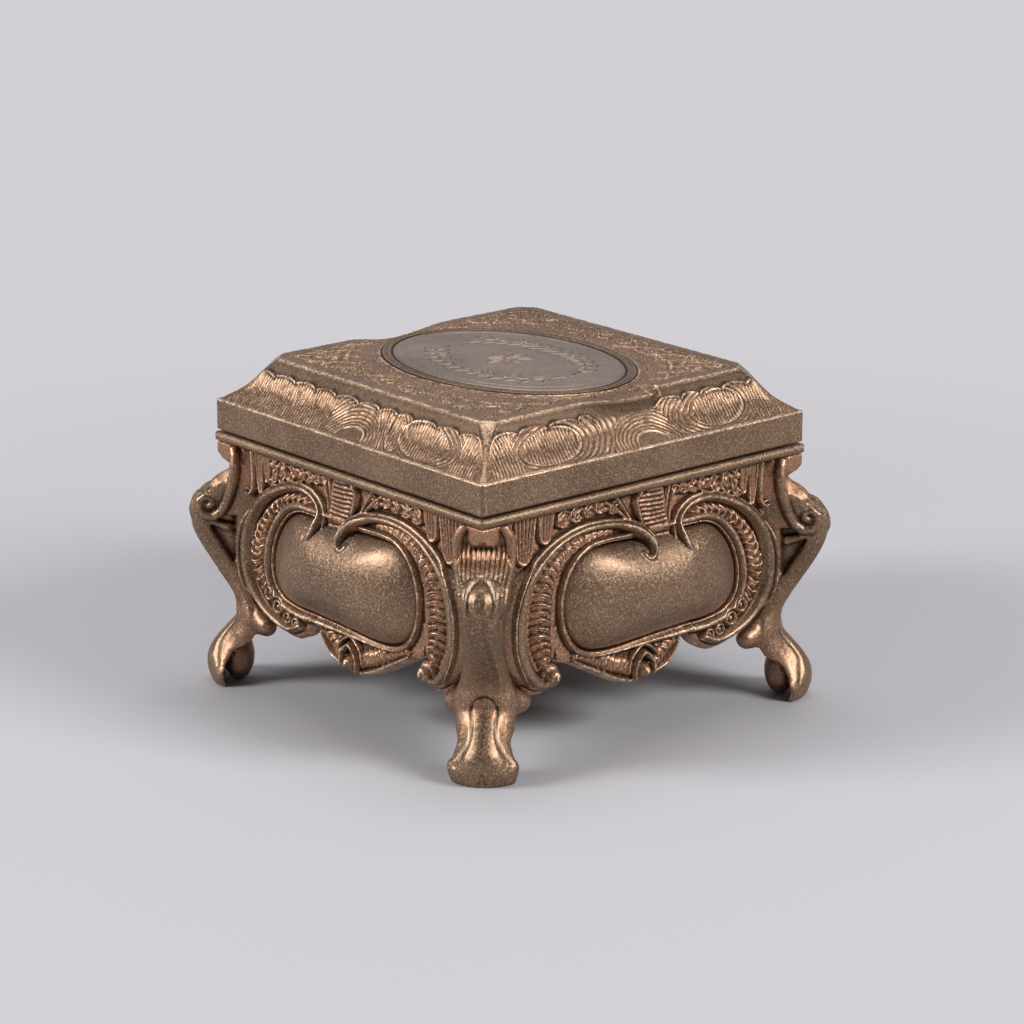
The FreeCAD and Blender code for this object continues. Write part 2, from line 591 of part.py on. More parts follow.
def slope_arc(base, crest):
    """Hollow arc of the lid's slope between two points."""
    chord = crest.sub(base)
    across = Vector(0, -chord.z, chord.y).normalize()
    middle = base.add(crest).multiply(0.5).add(across.multiply(SLOPE_SAG))
    if middle.y > (base.y + crest.y) / 2:
        middle = base.add(crest).sub(middle)
    return Part.Arc(base, middle, crest).toShape()


def lid_profile(fascia, top):
    """Half outline of the lid from its underside to its top, at given half widths."""
    points = [Vector(0, fascia - FASCIA_ROUND, SEAT_HEIGHT),
              Vector(0, fascia, SEAT_HEIGHT + FASCIA_ROUND),
              Vector(0, fascia, fascia_top - FASCIA_ROUND),
              Vector(0, fascia - FASCIA_ROUND, fascia_top)]
    edges = [Part.makeLine(a, b) for a, b in zip(points, points[1:])]
    return edges + [slope_arc(points[-1], Vector(0, top, lid_top))]


def lid_shell():
    """Square lid with fascia, hollow slope with flatted corners, and a hollow underside."""
    width = lid_half + CUT_OVERRUN
    outer = moulded_block(mirrored_profile(lid_profile(lid_half, top_half)), width)
    flats = lid_profile(lid_half * ROOT2 - MITRE_FLAT_BASE, top_half * ROOT2 - MITRE_FLAT_TOP)
    outer = outer.common(around(moulded_block(mirrored_profile(flats), width * ROOT2), 45))
    prism = rounded_prism(lid_half, LID_CORNER_ROUND, SEAT_HEIGHT - RIM_HEIGHT, lid_top + RIM_HEIGHT)
    outer = outer.common(prism)
    outer = outer.cut(square_block(bead_half + BEAD_CLEARANCE, SEAT_HEIGHT - CUT_OVERRUN, bead_top))
    hollow = [Part.makePolygon([Vector(sx * half, sy * half, level)
                                for sx, sy in ((1, 1), (-1, 1), (-1, -1), (1, -1), (1, 1))])
              for half, level in ((well_half, bead_top), (cavity_top_half, cavity_top))]
    outer = outer.cut(Part.makeLoft(hollow, True, True))
    seat = lid_top - MEDALLION_SEAT
    outer = outer.cut(oval(BEZEL_WIDTH + BEZEL_CLEARANCE, seat, MEDALLION_SEAT + CUT_OVERRUN))
    room = leaf_plate(rim_half + CUT_OVERRUN, SEAT_HEIGHT - LID_GAP, SEAT_HEIGHT + LEAF_THICKNESS)
    outer = outer.cut(room)
    for screw in hinge_screws(1):
        outer = outer.cut(screw)
    return one_solid(outer)


def oval(margin, level, height):
    """Upright oval solid round the medallion, larger by a margin."""
    rim = Part.Ellipse(Vector(0, MEDALLION_HALF_Y + margin, level),
                       Vector(MEDALLION_HALF_X + margin, 0, level), Vector(0, 0, level))
    return Part.Face(Part.Wire(rim.toShape())).extrude(Vector(0, 0, height))


def medallion_plate():
    """Oval plate with a low crown."""
    seat = lid_top - MEDALLION_SEAT
    half = MEDALLION_HALF_X - BEZEL_CLEARANCE
    edge = Vector(half, 0, seat + MEDALLION_EDGE)
    crown = Vector(0, 0, seat + MEDALLION_EDGE + MEDALLION_CROWN)
    # Quarter arc of the crown, its centre far below on the axis
    radius = (half ** 2 + MEDALLION_CROWN ** 2) / (2 * MEDALLION_CROWN)
    turn = math.asin(half / radius) / 2
    middle = crown.add(Vector(radius * math.sin(turn), 0, radius * math.cos(turn) - radius))
    base = [Vector(0, 0, seat), Vector(half, 0, seat)]
    edges = [Part.makeLine(*base), Part.makeLine(base[1], edge),
             Part.Arc(edge, middle, crown).toShape(), Part.makeLine(crown, base[0])]
    round_plate = Part.Face(Part.Wire(edges)).revolve(Vector(0, 0, 0), Vector(0, 0, 1), 360)
    stretch = FreeCAD.Matrix()
    stretch.scale(1, (MEDALLION_HALF_Y - BEZEL_CLEARANCE) / half, 1)
    return Part.makeSolid(round_plate.transformGeometry(stretch))


def medallion_bezel():
    """Oval ring with a rounded back."""
    seat = lid_top - MEDALLION_SEAT
    hole = oval(0, seat - CUT_OVERRUN, BEZEL_HEIGHT + CUT_OVERRUN * 2)
    body = oval(BEZEL_WIDTH, seat, BEZEL_HEIGHT).cut(hole)
    rounded = [edge for edge in body.Edges
               if edge.BoundBox.ZLength < BEZEL_CLEARANCE and edge.BoundBox.ZMin > seat + BEZEL_HEIGHT / 2]
    return body.makeFillet(BEZEL_ROUND, rounded)


def leaf_plate(back, low_z, high_z):
    """Hinge leaf, or the room for it, from its front edge to a level at the back."""
    return block(Vector(-HINGE_LENGTH / 2, leaf_front, low_z), Vector(HINGE_LENGTH / 2, back, high_z))


def hinge_screws(side):
    """The two alike screws of a leaf: side is -1 for the lower leaf and 1 for the upper."""
    level = rim_top if side < 0 else SEAT_HEIGHT
    length = LOWER_SCREW_LENGTH if side < 0 else UPPER_SCREW_LENGTH
    screws = []
    for share in (-1, 1):
        across = share * knuckle_pitch * (KNUCKLE_COUNT - 1) / 2
        place = Vector(across, (leaf_front + lid_half) / 2, level)
        screws.append(countersunk(place, HINGE_SCREW_RADIUS, HINGE_SCREW_HEAD, length,
                                  Vector(0, 0, side)))
    return screws


def hinge_leaf(side):
    """Leaf with its knuckles: side is -1 for the lower leaf and 1 for the upper."""
    low_z = rim_top - LEAF_THICKNESS if side < 0 else SEAT_HEIGHT
    back = rim_half if side < 0 else lid_half
    plate = leaf_plate(back, low_z, low_z + LEAF_THICKNESS)
    added = []
    first = 0 if side < 0 else 1
    for index in range(first, KNUCKLE_COUNT, 2):
        start = knuckle_pitch * index - HINGE_LENGTH / 2 + KNUCKLE_GAP / 2
        length = knuckle_pitch - KNUCKLE_GAP
        added.append(Part.makeCylinder(KNUCKLE_RADIUS, length, Vector(start, hinge_y, hinge_z),
                                       Vector(1, 0, 0)))
        added.append(block(Vector(start, leaf_front, low_z),
                           Vector(start + length, hinge_y, low_z + LEAF_THICKNESS)))
        if side < 0 and index == KNUCKLE_COUNT // 2:
            added.append(hinge_stop(start, length))
    leaf = plate.multiFuse(added)
    bore = PIN_RADIUS if side < 0 else PIN_RADIUS + PIN_CLEARANCE
    start = Vector(-HINGE_LENGTH / 2 - CUT_OVERRUN, hinge_y, hinge_z)
    leaf = leaf.cut(Part.makeCylinder(bore, HINGE_LENGTH + CUT_OVERRUN * 2, start, Vector(1, 0, 0)))
    for screw in hinge_screws(side):
        leaf = leaf.cut(screw)
    return one_solid(leaf)


def hinge_stop(start, length):
    """Heel on the middle knuckle that the lid's back lands on when it is open."""
    angle = math.radians(OPEN_ANGLE)
    rise = hinge_y - lid_half - STOP_CLEARANCE
    up = Vector(0, -math.cos(angle), math.sin(angle)).multiply(rise)
    back = Vector(0, math.sin(angle), math.cos(angle)).multiply(STOP_LENGTH)
    axis = Vector(start, hinge_y, hinge_z)
    heel = polygon_face([axis, axis.add(up), axis.add(up).add(back), axis.add(back)])
    return heel.extrude(Vector(length, 0, 0))


def hinge_pin():
    """Hinge pin with a flat head at each end."""
    ends = [-HINGE_LENGTH / 2 - PIN_HEAD_LENGTH, HINGE_LENGTH / 2]
    heads = [Part.makeCylinder((PIN_RADIUS + KNUCKLE_RADIUS) / 2, PIN_HEAD_LENGTH,
                               Vector(end, hinge_y, hinge_z), Vector(1, 0, 0)) for end in ends]
    start = Vector(-HINGE_LENGTH / 2, hinge_y, hinge_z)
    shank = Part.makeCylinder(PIN_RADIUS, HINGE_LENGTH, start, Vector(1, 0, 0))
    return one_solid(shank.multiFuse(heads))


def lining_board(half_length):
    """Covered board on the inside of the front wall."""
    outer = panel_back - LINING_CLEARANCE
    return block(Vector(-half_length, -outer, floor_top), Vector(half_length, -well_half, rim_base))


def cushion(half, base, height):
    """Crowned pad whose sides pull in between its corners; a negative height hangs from its base."""
    wires = []
    for share, width in CUSHION_SHARES:
        reach = half * width
        level = base + height * share
        corners = [Vector(reach, reach, level), Vector(-reach, reach, level),
                   Vector(-reach, -reach, level), Vector(reach, -reach, level)]
        edges = []
        for start, end in zip(corners, corners[1:] + corners[:1]):
            middle = start.add(end).multiply(0.5)
            axis_point = Vector(0, 0, level)
            drawn = middle.add(axis_point.sub(middle).multiply(CUSHION_PULL_SHARE))
            edges.append(Part.Arc(start, drawn, end).toShape())
        wires.append(Part.Wire(edges))
    return Part.makeLoft(wires, True, True)


def cavity_half(level):
    """Half width of the lid's hollow at a level."""
    rise = (level - bead_top) / (cavity_top - bead_top)
    return well_half + (cavity_top_half - well_half) * rise


def build():
    """All sub-parts by node name."""
    parts = {}
    panel = front_panel()
    mirrored = across_diagonal(panel)
    parts["front_panel"] = panel
    parts["back_panel"] = around(panel, 180)
    parts["left_panel"] = mirrored
    parts["right_panel"] = around(mirrored, 180)

    corner = leg()
    for name, turn in (("front_right", 0), ("back_right", 90), ("back_left", 180), ("front_left", 270)):
        parts["leg_" + name] = around(corner, turn)

    parts["rim_frame"] = rim_frame()
    parts["floor_plate"] = floor_plate()
    parts["rim_screws"] = Part.makeCompound(corner_screws(RIM_SCREW))
    parts["floor_screws"] = Part.makeCompound(corner_screws(FLOOR_SCREW))

    parts["hinge_lower_leaf"] = hinge_leaf(-1)
    parts["hinge_upper_leaf"] = hinge_leaf(1)
    parts["hinge_pin"] = hinge_pin()
    parts["hinge_lower_screws"] = Part.makeCompound(hinge_screws(-1))
    parts["hinge_upper_screws"] = Part.makeCompound(hinge_screws(1))

    long_board = lining_board(panel_back - LINING_CLEARANCE)
    short_board = around(lining_board(well_half), 90)
    parts["lining_front"] = long_board
    parts["lining_back"] = around(long_board, 180)
    parts["lining_right"] = short_board
    parts["lining_left"] = around(short_board, 180)

    board_top = floor_top + BOARD_THICKNESS
    parts["floor_board"] = square_block(well_half - BOARD_CLEARANCE, floor_top, board_top)
    parts["floor_pad"] = cushion(well_half - PAD_CLEARANCE, board_top, FLOOR_PAD_HEIGHT)

    board_base = cavity_top - BOARD_THICKNESS
    lid_board_half = cavity_half(cavity_top) - BOARD_CLEARANCE
    parts["lid_shell"] = lid_shell()
    parts["lid_board"] = square_block(lid_board_half, board_base, cavity_top)
    parts["lid_pad"] = cushion(lid_board_half - PAD_CLEARANCE, board_base, -LID_PAD_HEIGHT)
    parts["medallion_plate"] = medallion_plate()
    parts["medallion_bezel"] = medallion_bezel()
    return parts


os.makedirs("parts", exist_ok=True)
for node, shape in build().items():
    shape.exportStep("parts/" + node + ".step")
    state = "valid" if shape.isValid() else "BAD"
    print(node, len(shape.Solids), "solid(s)", round(shape.Volume, 1), "mm3", state)
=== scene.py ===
import math

import bmesh
import bpy
import numpy as np
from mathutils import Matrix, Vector


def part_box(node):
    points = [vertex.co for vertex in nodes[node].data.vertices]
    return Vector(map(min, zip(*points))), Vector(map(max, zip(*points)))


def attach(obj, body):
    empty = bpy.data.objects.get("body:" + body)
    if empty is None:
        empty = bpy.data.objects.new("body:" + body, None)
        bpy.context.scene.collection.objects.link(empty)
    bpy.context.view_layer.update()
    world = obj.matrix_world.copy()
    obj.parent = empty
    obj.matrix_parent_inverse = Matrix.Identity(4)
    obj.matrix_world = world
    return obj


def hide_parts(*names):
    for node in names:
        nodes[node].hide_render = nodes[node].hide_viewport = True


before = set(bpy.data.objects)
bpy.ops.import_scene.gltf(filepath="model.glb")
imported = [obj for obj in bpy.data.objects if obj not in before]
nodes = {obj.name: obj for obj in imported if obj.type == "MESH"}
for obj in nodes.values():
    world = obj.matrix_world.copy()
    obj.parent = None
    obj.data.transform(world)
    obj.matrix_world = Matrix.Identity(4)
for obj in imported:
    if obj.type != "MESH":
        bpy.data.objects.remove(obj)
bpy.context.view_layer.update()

# Looks of a footed cast bronze jewel casket. Shapes are worked out in millimetres
# and written in metres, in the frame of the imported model.
MM = 0.001
scene = bpy.context.scene

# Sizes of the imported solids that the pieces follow
LID_HALF = 42.0
SEAT = 53.2
FASCIA_TOP = 59.7
LID_TOP = 68.7
TOP_HALF = 34.0
PANEL_HALF = 36.2
PANEL_FACE = 39.4
APRON = 12.0
RIM_BASE = 50.8
PANEL_RISE = RIM_BASE - APRON
OVAL = (19.6, 27.7)
BEZEL_WIDTH = 2.4
# Room for the hinge's upper leaf in the lid's edge: half length, where it starts, height
HINGE_ROOM = (18.05, 37.7, 54.03)


# Small numeric helpers
def ease(low, high, value):
    """Smooth step from 0 at low to 1 at high."""
    t = np.clip((value - low) / (high - low), 0.0, 1.0)
    return t * t * (3.0 - 2.0 * t)


def unit(value):
    return np.clip(value, 0, 1)


def bell(gap, wide):
    """Bell curve: 1 in the middle, fading over a width."""
    return np.exp(-(gap / wide) ** 2)


def soft_max(a, b, radius):
    """Larger of two heights, with a fillet."""
    overlap = np.maximum(radius - np.abs(a - b), 0.0) / radius
    return np.maximum(a, b) + overlap * overlap * radius / 4


def soft_min(a, b, radius):
    """Smaller of two distances, with a fillet."""
    return -soft_max(-a, -b, radius)


def ridge(distance, half, height):
    """Round-backed section, below zero outside its width."""
    x = distance / half
    return height * (1.0 - x * x)


def rib(phase, sharp=1.0):
    """Repeating rounded rib from 0 to 1."""
    return (0.5 + 0.5 * np.cos(2 * math.pi * phase)) ** sharp


def noise(points, size, seed):
    """Smooth repeatable noise from -1 to 1 at points in millimetres."""
    table = np.random.default_rng(seed).uniform(-1, 1, 4096)
    q = points / size
    base = np.floor(q).astype(int)
    f = q - base
    f = f * f * (3 - 2 * f)
    total = np.zeros(len(points))
    axes = points.shape[1]
    primes = np.array([73856093, 19349663, 83492791])[:axes]
    for corner in np.array(np.meshgrid(*[(0, 1)] * axes)).reshape(axes, -1).T:
        key = ((base + corner) * primes).sum(1) % 4096
        total += np.prod(np.where(corner == 1, f, 1 - f), axis=1) * table[key]
    return total


def lengths(line):
    """Distance along a line at each of its points."""
    return np.concatenate([[0.0], np.cumsum(np.hypot(*np.diff(line, axis=0).T))])


def smooth_path(rows, step=0.2, closed=False):
    """Evenly spaced rows along a smooth curve; the first two columns are the place."""
    p = np.asarray(rows, float)
    if closed:
        p = np.vstack([p[-1], p, p[0], p[1]])
    else:
        p = np.vstack([2 * p[0] - p[1], p, 2 * p[-1] - p[-2]])
    t = np.linspace(0, 1, 24, endpoint=False)[:, None]
    runs = []
    for a, b, c, d in zip(p, p[1:], p[2:], p[3:]):
        square, cube = 2 * a - 5 * b + 4 * c - d, 3 * b - a - 3 * c + d
        runs.append(0.5 * (2 * b + (c - a) * t + square * t ** 2 + cube * t ** 3))
    fine = np.vstack(runs + [p[-2:-1]])
    length = lengths(fine[:, :2])
    at = np.linspace(0, length[-1], max(3, int(length[-1] / step)) + 1)
    return np.column_stack([np.interp(at, length, column) for column in fine.T])


class Near:
    """Points near a path: which, signed distance to its left, distance along, carried columns."""

    def __init__(self, rows, place, reach, closed=False):
        path = smooth_path(rows, closed=closed)
        line = path[:, :2]
        inside = (place > line.min(0) - reach) & (place < line.max(0) + reach)
        self.which = np.nonzero(np.all(inside, axis=1))[0]
        points = place[self.which]
        nearest = np.zeros(len(points), int)
        batch = 8000
        for start in range(0, len(points), batch):
            part = points[start:start + batch]
            nearest[start:start + batch] = ((part[:, None, :] - line[None]) ** 2).sum(2).argmin(1)
        tangent = np.gradient(line, axis=0)
        if closed:
            tangent[0] = tangent[-1] = line[1] - line[-2]
        tangent /= np.linalg.norm(tangent, axis=1)[:, None]
        away = points - line[nearest]
        t = tangent[nearest]
        along = (t * away).sum(1)
        self.side = t[:, 0] * away[:, 1] - t[:, 1] * away[:, 0]
        self.along = lengths(line)[nearest] + along
        self.beyond = np.where((nearest == 0) | (nearest == len(line) - 1), along, 0.0)
        self.columns = path[nearest, 2:].T
        self.gap = np.hypot(self.side, self.beyond)


# Meshes and pieces
def linked(name, data):
    made = bpy.data.objects.new(name, data)
    scene.collection.objects.link(made)
    return made


def fill_mesh(mesh, points, faces):
    """Fast mesh from points in millimetres and arrays of faces."""
    loops = np.concatenate([np.asarray(f).ravel() for f in faces])
    sizes = np.concatenate([np.full(len(f), np.asarray(f).shape[1]) for f in faces])
    starts = np.concatenate([[0], np.cumsum(sizes)[:-1]])
    mesh.vertices.add(len(points))
    mesh.vertices.foreach_set("co", (np.asarray(points) * MM).astype(np.float32).ravel())
    mesh.loops.add(len(loops))
    mesh.loops.foreach_set("vertex_index", loops.astype(np.int32))
    mesh.polygons.add(len(sizes))
    mesh.polygons.foreach_set("loop_start", starts.astype(np.int32))
    mesh.update(calc_edges=True)
    mesh.validate()
    mesh.polygons.foreach_set("use_smooth", np.ones(len(mesh.polygons), bool))


def convexity(points, quads, rounds):
    """How far points stand out of their smoothed surroundings, in millimetres, and their normals."""
    size = len(points)
    pairs = np.vstack([quads[:, [k, (k + 1) % 4]] for k in range(4)])
    start = np.concatenate([pairs[:, 0], pairs[:, 1]])
    end = np.concatenate([pairs[:, 1], pairs[:, 0]])
    count = np.maximum(np.bincount(start, minlength=size), 1)
    mean = points.astype(float)
    for _ in range(rounds):
        mean = np.column_stack([np.bincount(start, mean[end, k], size) / count for k in range(3)])
    a, b, c, d = [points[corner] for corner in quads.T]
    cross = np.cross(c - a, d - b)
    normal = np.column_stack([sum(np.bincount(corner, cross[:, k], size) for corner in quads.T)
                              for k in range(3)])
    normal /= np.maximum(np.linalg.norm(normal, axis=1), 1e-9)[:, None]
    return ((points - mean) * normal).sum(1), normal


def piece(name, points, faces, fields, body, replaced, material):
    """Finished object that rides on a body and stands for a node."""
    mesh = bpy.data.meshes.new(name)
    fill_mesh(mesh, points, faces)
    for key, values in fields.items():
        field = mesh.attributes.new(key, "FLOAT", "POINT")
        field.data.foreach_set("value", np.asarray(values, np.float32))
    made = linked(name, mesh)
    mesh.materials.append(material)
    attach(made, body)
    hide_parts(replaced)
    return made


def grid_quads(rows, columns, closed=False):
    """Quads of a grid whose points are numbered row by row."""
    number = np.arange(rows * columns).reshape(rows, columns)
    if closed:
        number = np.hstack([number, number[:, :1]])
    corners = number[:-1, :-1], number[:-1, 1:], number[1:, 1:], number[1:, :-1]
    return np.column_stack([corner.ravel() for corner in corners])


def tube_faces(rows, count):
    """Quads of closed rows, and a face over each end."""
    loop = np.arange(count)
    return [grid_quads(rows, count, closed=True), loop[None], (loop + (rows - 1) * count)[None, ::-1]]


def reversed_faces(faces):
    return [f[:, ::-1] for f in faces]


def turned(points, degrees):
    """Points turned about the upright axis."""
    a = math.radians(degrees)
    c, s = math.cos(a), math.sin(a)
    x, y, z = points.T
    return np.column_stack([x * c - y * s, x * s + y * c, z])


# Materials
class Shader:
    """Short hand for building a node material."""

    def __init__(self, name):
        self.material = bpy.data.materials.new(name)
        self.material.use_nodes = True
        self.tree = self.material.node_tree
        self.out = next(n for n in self.tree.nodes if n.type == "OUTPUT_MATERIAL")
        self.main = next(n for n in self.tree.nodes if n.type == "BSDF_PRINCIPLED")
        self.place = self.node("TexCoord").outputs["Object"]

    def link(self, value, socket):
        if isinstance(value, bpy.types.NodeSocket):
            self.tree.links.new(value, socket)
        else:
            socket.default_value = value

    def fill(self, node, values):
        for key, value in values.items():
            value = (*value, 1.0) if isinstance(value, tuple) else value
            self.link(value, node.inputs[key.replace("_", " ")])

    def node(self, kind, **values):
        made = self.tree.nodes.new("ShaderNode" + kind)
        self.fill(made, values)
        return made

    def set(self, **values):
        self.fill(self.main, values)

    def field(self, name):
        node = self.node("Attribute")
        node.attribute_name = name
        return node.outputs["Fac"]

    def noise(self, scale, detail=3.0, rough=0.5, distort=0.0):
        node = self.node("TexNoise", Vector=self.place, Scale=scale, Detail=detail, Roughness=rough,
                         Distortion=distort)
        return node.outputs["Fac"]

    def math(self, kind, a, b=0.0, clamp=False):
        node = self.node("Math")
        node.operation = kind
        node.use_clamp = clamp
        self.link(a, node.inputs[0])
        self.link(b, node.inputs[1])
        return node.outputs[0]

    def span(self, value, low, high, to_low=0.0, to_high=1.0):
        node = self.node("MapRange", Value=value, From_Min=low, From_Max=high, To_Min=to_low, To_Max=to_high)
        node.interpolation_type = "SMOOTHSTEP"
        return node.outputs["Result"]

    def mix(self, share, a, b):
        node = self.node("Mix")
        node.data_type = "RGBA"
        self.link(share, node.inputs["Factor"])
        for value, key in ((a, "A"), (b, "B")):
            socket = next(s for s in node.inputs if s.name == key and s.type == "RGBA")
            self.link(value if isinstance(value, bpy.types.NodeSocket) else (*value, 1.0), socket)
        return next(s for s in node.outputs if s.type == "RGBA")

    def bump(self, height, strength, distance, before=None):
        node = self.node("Bump", Strength=strength, Distance=distance, Height=height)
        if before is not None:
            self.link(before, node.inputs["Normal"])
        return node.outputs["Normal"]

    def glow(self, colour, near, far):
        """Shows one even colour to the eye and in reflections, away from the middle of the stage."""
        away = self.node("VectorMath")
        away.operation = "LENGTH"
        self.link(self.place, away.inputs[0])
        ray = self.node("LightPath").outputs
        seen = self.math("ADD", ray["Is Camera Ray"], ray["Is Glossy Ray"], True)
        seen = self.math("ADD", seen, ray["Is Transmission Ray"], True)
        light = self.node("Emission", Color=colour)
        share = self.math("MULTIPLY", seen, self.span(away.outputs["Value"], near, far))
        both = self.node("MixShader", Fac=share)
        self.link(self.main.outputs[0], both.inputs[1])
        self.link(light.outputs[0], both.inputs[2])
        self.link(both.outputs[0], self.out.inputs["Surface"])


def bronze(name, dark, body, rubbed, ground, rough=0.40, fleck=0.5):
    """Antiqued cast bronze: dark hollows, rubbed crests, copper in the worked ground, flecks all over."""
    s = Shader(name)
    broad = s.noise(55.0, 4.0, 0.6)
    middle = s.noise(420.0, 3.0, 0.6)
    fine = s.noise(2600.0, 2.0, 0.6)
    grain = s.noise(5200.0, 2.0, 0.5)
    wear = s.math("MULTIPLY", s.field("wear"), s.span(fine, 0.32, 0.66, 0.45, 1.25))
    wear = s.math("ADD", wear, s.span(middle, 0.35, 0.7, -0.10, 0.08))
    base = s.mix(s.span(broad, 0.35, 0.65), [c * 0.86 for c in body], [c * 1.14 for c in body])
    base = s.mix(s.math("MULTIPLY", s.field("ground"), s.span(middle, 0.25, 0.7, 0.5, 1.0)), base, ground)
    speck = s.math("MULTIPLY", s.span(fine, 0.53, 0.68), s.span(grain, 0.42, 0.62, 0.25, 1.0))
    base = s.mix(s.math("MULTIPLY", speck, fleck), base, rubbed)
    pits = s.span(fine, 0.30, 0.45, 1.0, 0.0)
    base = s.mix(s.math("MULTIPLY", pits, 0.5), base, dark)
    # The hollow field darkens the patina in hollows; on the lid's plain band and on the legs' shins it
    # carries painted shade.
    base = s.mix(s.span(s.field("hollow"), 0.06, 0.75, 0.0, 0.93), base, dark)
    base = s.mix(s.span(wear, 0.16, 1.0, 0.0, 0.78), base, rubbed)
    pores = s.math("ADD", s.math("MULTIPLY", fine, 0.7), s.math("MULTIPLY", grain, 0.4))
    normal = s.bump(middle, 0.2, 0.00012, s.bump(pores, 0.45, 0.00007))
    rough_map = s.span(fine, 0.3, 0.7, rough - 0.06, rough + 0.13)
    s.set(Base_Color=base, Roughness=rough_map, Metallic=0.88, Normal=normal)
    return s.material


bronze_metal = bronze("antique_bronze", dark=(0.026, 0.015, 0.009), body=(0.225, 0.143, 0.090),
                      rubbed=(0.80, 0.585, 0.42), ground=(0.37, 0.19, 0.108))
medal_metal = bronze("medallion_bronze", dark=(0.06, 0.042, 0.032), body=(0.285, 0.222, 0.186),
                     rubbed=(0.70, 0.52, 0.38), ground=(0.285, 0.222, 0.186), rough=0.46, fleck=0.15)


def dress(names, material):
    """Gives nodes one material."""
    for name in names:
        nodes[name].data.materials.clear()
        nodes[name].data.materials.append(material)


dress(nodes, bronze_metal)


def cast(name, points, faces, fields, body, replaced):
    """Piece of the antiqued casting."""
    piece(name, points, faces, fields, body, replaced, bronze_metal)


# Side panels: lower outline and boss in shares of the panel, across and up
FAR_LOBE = [
    (1.0, 0.245), (0.94, 0.227), (0.87, 0.188), (0.80, 0.136), (0.75, 0.09), (0.66, 0.047), (0.54, 0.037),
    (0.46, 0.066), (0.39, 0.127), (0.37, 0.172)]
PENDANT = [
    (0.37, 0.172), (0.33, 0.158), (0.292, 0.122), (0.252, 0.07), (0.20, 0.022), (0.11, -0.006), (0.0, -0.032),
    (-0.07, -0.022), (-0.15, -0.001), (-0.22, 0.028), (-0.34, 0.086), (-0.48, 0.158), (-0.59, 0.2)]
NEAR_LOBE = [
    (-0.59, 0.2), (-0.60, 0.15), (-0.615, 0.098), (-0.67, 0.05), (-0.76, 0.055), (-0.84, 0.098),
    (-0.91, 0.17), (-0.96, 0.218), (-1.0, 0.245)]
BOSS = [
    (-0.545, 0.508), (-0.512, 0.621), (-0.445, 0.702), (-0.356, 0.747), (-0.247, 0.755), (-0.136, 0.75),
    (-0.04, 0.748), (0.072, 0.745), (0.17, 0.745), (0.269, 0.745), (0.368, 0.742), (0.424, 0.742),
    (0.495, 0.731), (0.582, 0.683), (0.672, 0.574), (0.715, 0.442), (0.697, 0.33), (0.62, 0.258),
    (0.491, 0.232), (0.319, 0.228), (0.135, 0.222), (-0.047, 0.212), (-0.186, 0.205), (-0.324, 0.21),
    (-0.42, 0.238), (-0.492, 0.3), (-0.535, 0.387)]
BOSS_CENTRE = (0.06, 0.475)
BOSS_HEIGHT = 6.6
# Scroll bands and ruffles: across, up, share of the half width, share of the height
BAND_HALF, BAND_HEIGHT = 2.0, 2.4
NEAR_SCROLL = [
    (-0.04, 0.68, 0.6, 1.7), (-0.022, 0.658, 0.66, 1.9), (0.014, 0.664, 0.72, 1.9),
    (0.03, 0.715, 0.76, 1.8), (0, 0.767, 0.74, 1.5), (-0.066, 0.814, 0.68, 1.2),
    (-0.159, 0.847, 0.54, 0.85), (-0.282, 0.865, 0.52, 0.8), (-0.405, 0.866, 0.52, 0.8),
    (-0.526, 0.845, 0.54, 0.8), (-0.633, 0.805, 0.6, 0.85), (-0.728, 0.742, 0.72, 0.9),
    (-0.792, 0.675, 0.85, 0.95), (-0.838, 0.596, 0.95, 1), (-0.866, 0.504, 1, 1), (-0.874, 0.407, 1, 1),
    (-0.862, 0.306, 1, 1), (-0.815, 0.2, 0.9, 0.95), (-0.75, 0.128, 0.7, 0.9), (-0.68, 0.105, 0.5, 0.8)]
FAR_SCROLL = [
    (0.34, 0.66, 0.6, 1.7), (0.322, 0.632, 0.66, 1.9), (0.282, 0.66, 0.72, 1.9),
    (0.254, 0.731, 0.72, 1.6), (0.254, 0.791, 0.54, 1), (0.296, 0.84, 0.56, 0.85),
    (0.371, 0.873, 0.56, 0.8), (0.484, 0.878, 0.54, 0.78), (0.612, 0.845, 0.56, 0.8),
    (0.74, 0.786, 0.6, 0.85), (0.838, 0.709, 0.68, 0.92), (0.908, 0.614, 0.78, 0.97),
    (0.942, 0.515, 0.85, 1), (0.95, 0.409, 0.85, 1), (0.925, 0.309, 0.85, 1), (0.87, 0.225, 0.8, 0.95),
    (0.785, 0.155, 0.7, 0.9), (0.67, 0.112, 0.6, 0.85), (0.57, 0.095, 0.5, 0.8),
    (0.475, 0.128, 0.45, 0.75)]
NEAR_RUFFLE = [
    (-0.212, 0.808, 0.3, 0.5), (-0.322, 0.813, 0.36, 0.6), (-0.444, 0.787, 0.46, 0.7),
    (-0.551, 0.738, 0.58, 0.8), (-0.62, 0.682, 0.7, 0.85), (-0.668, 0.612, 0.86, 0.95),
    (-0.69, 0.539, 0.95, 1), (-0.703, 0.454, 1, 1), (-0.706, 0.366, 1, 1), (-0.695, 0.283, 0.92, 1),
    (-0.672, 0.205, 0.65, 0.8)]
FAR_RUFFLE = [
    (0.365, 0.772, 0.4, 0.5), (0.41, 0.797, 0.46, 0.6), (0.502, 0.802, 0.55, 0.7),
    (0.617, 0.765, 0.64, 0.8), (0.72, 0.695, 0.72, 0.9), (0.806, 0.597, 0.8, 1), (0.848, 0.497, 0.83, 1),
    (0.856, 0.402, 0.83, 1), (0.826, 0.318, 0.8, 1), (0.768, 0.248, 0.75, 0.95),
    (0.662, 0.194, 0.68, 0.85), (0.56, 0.15, 0.5, 0.7)]
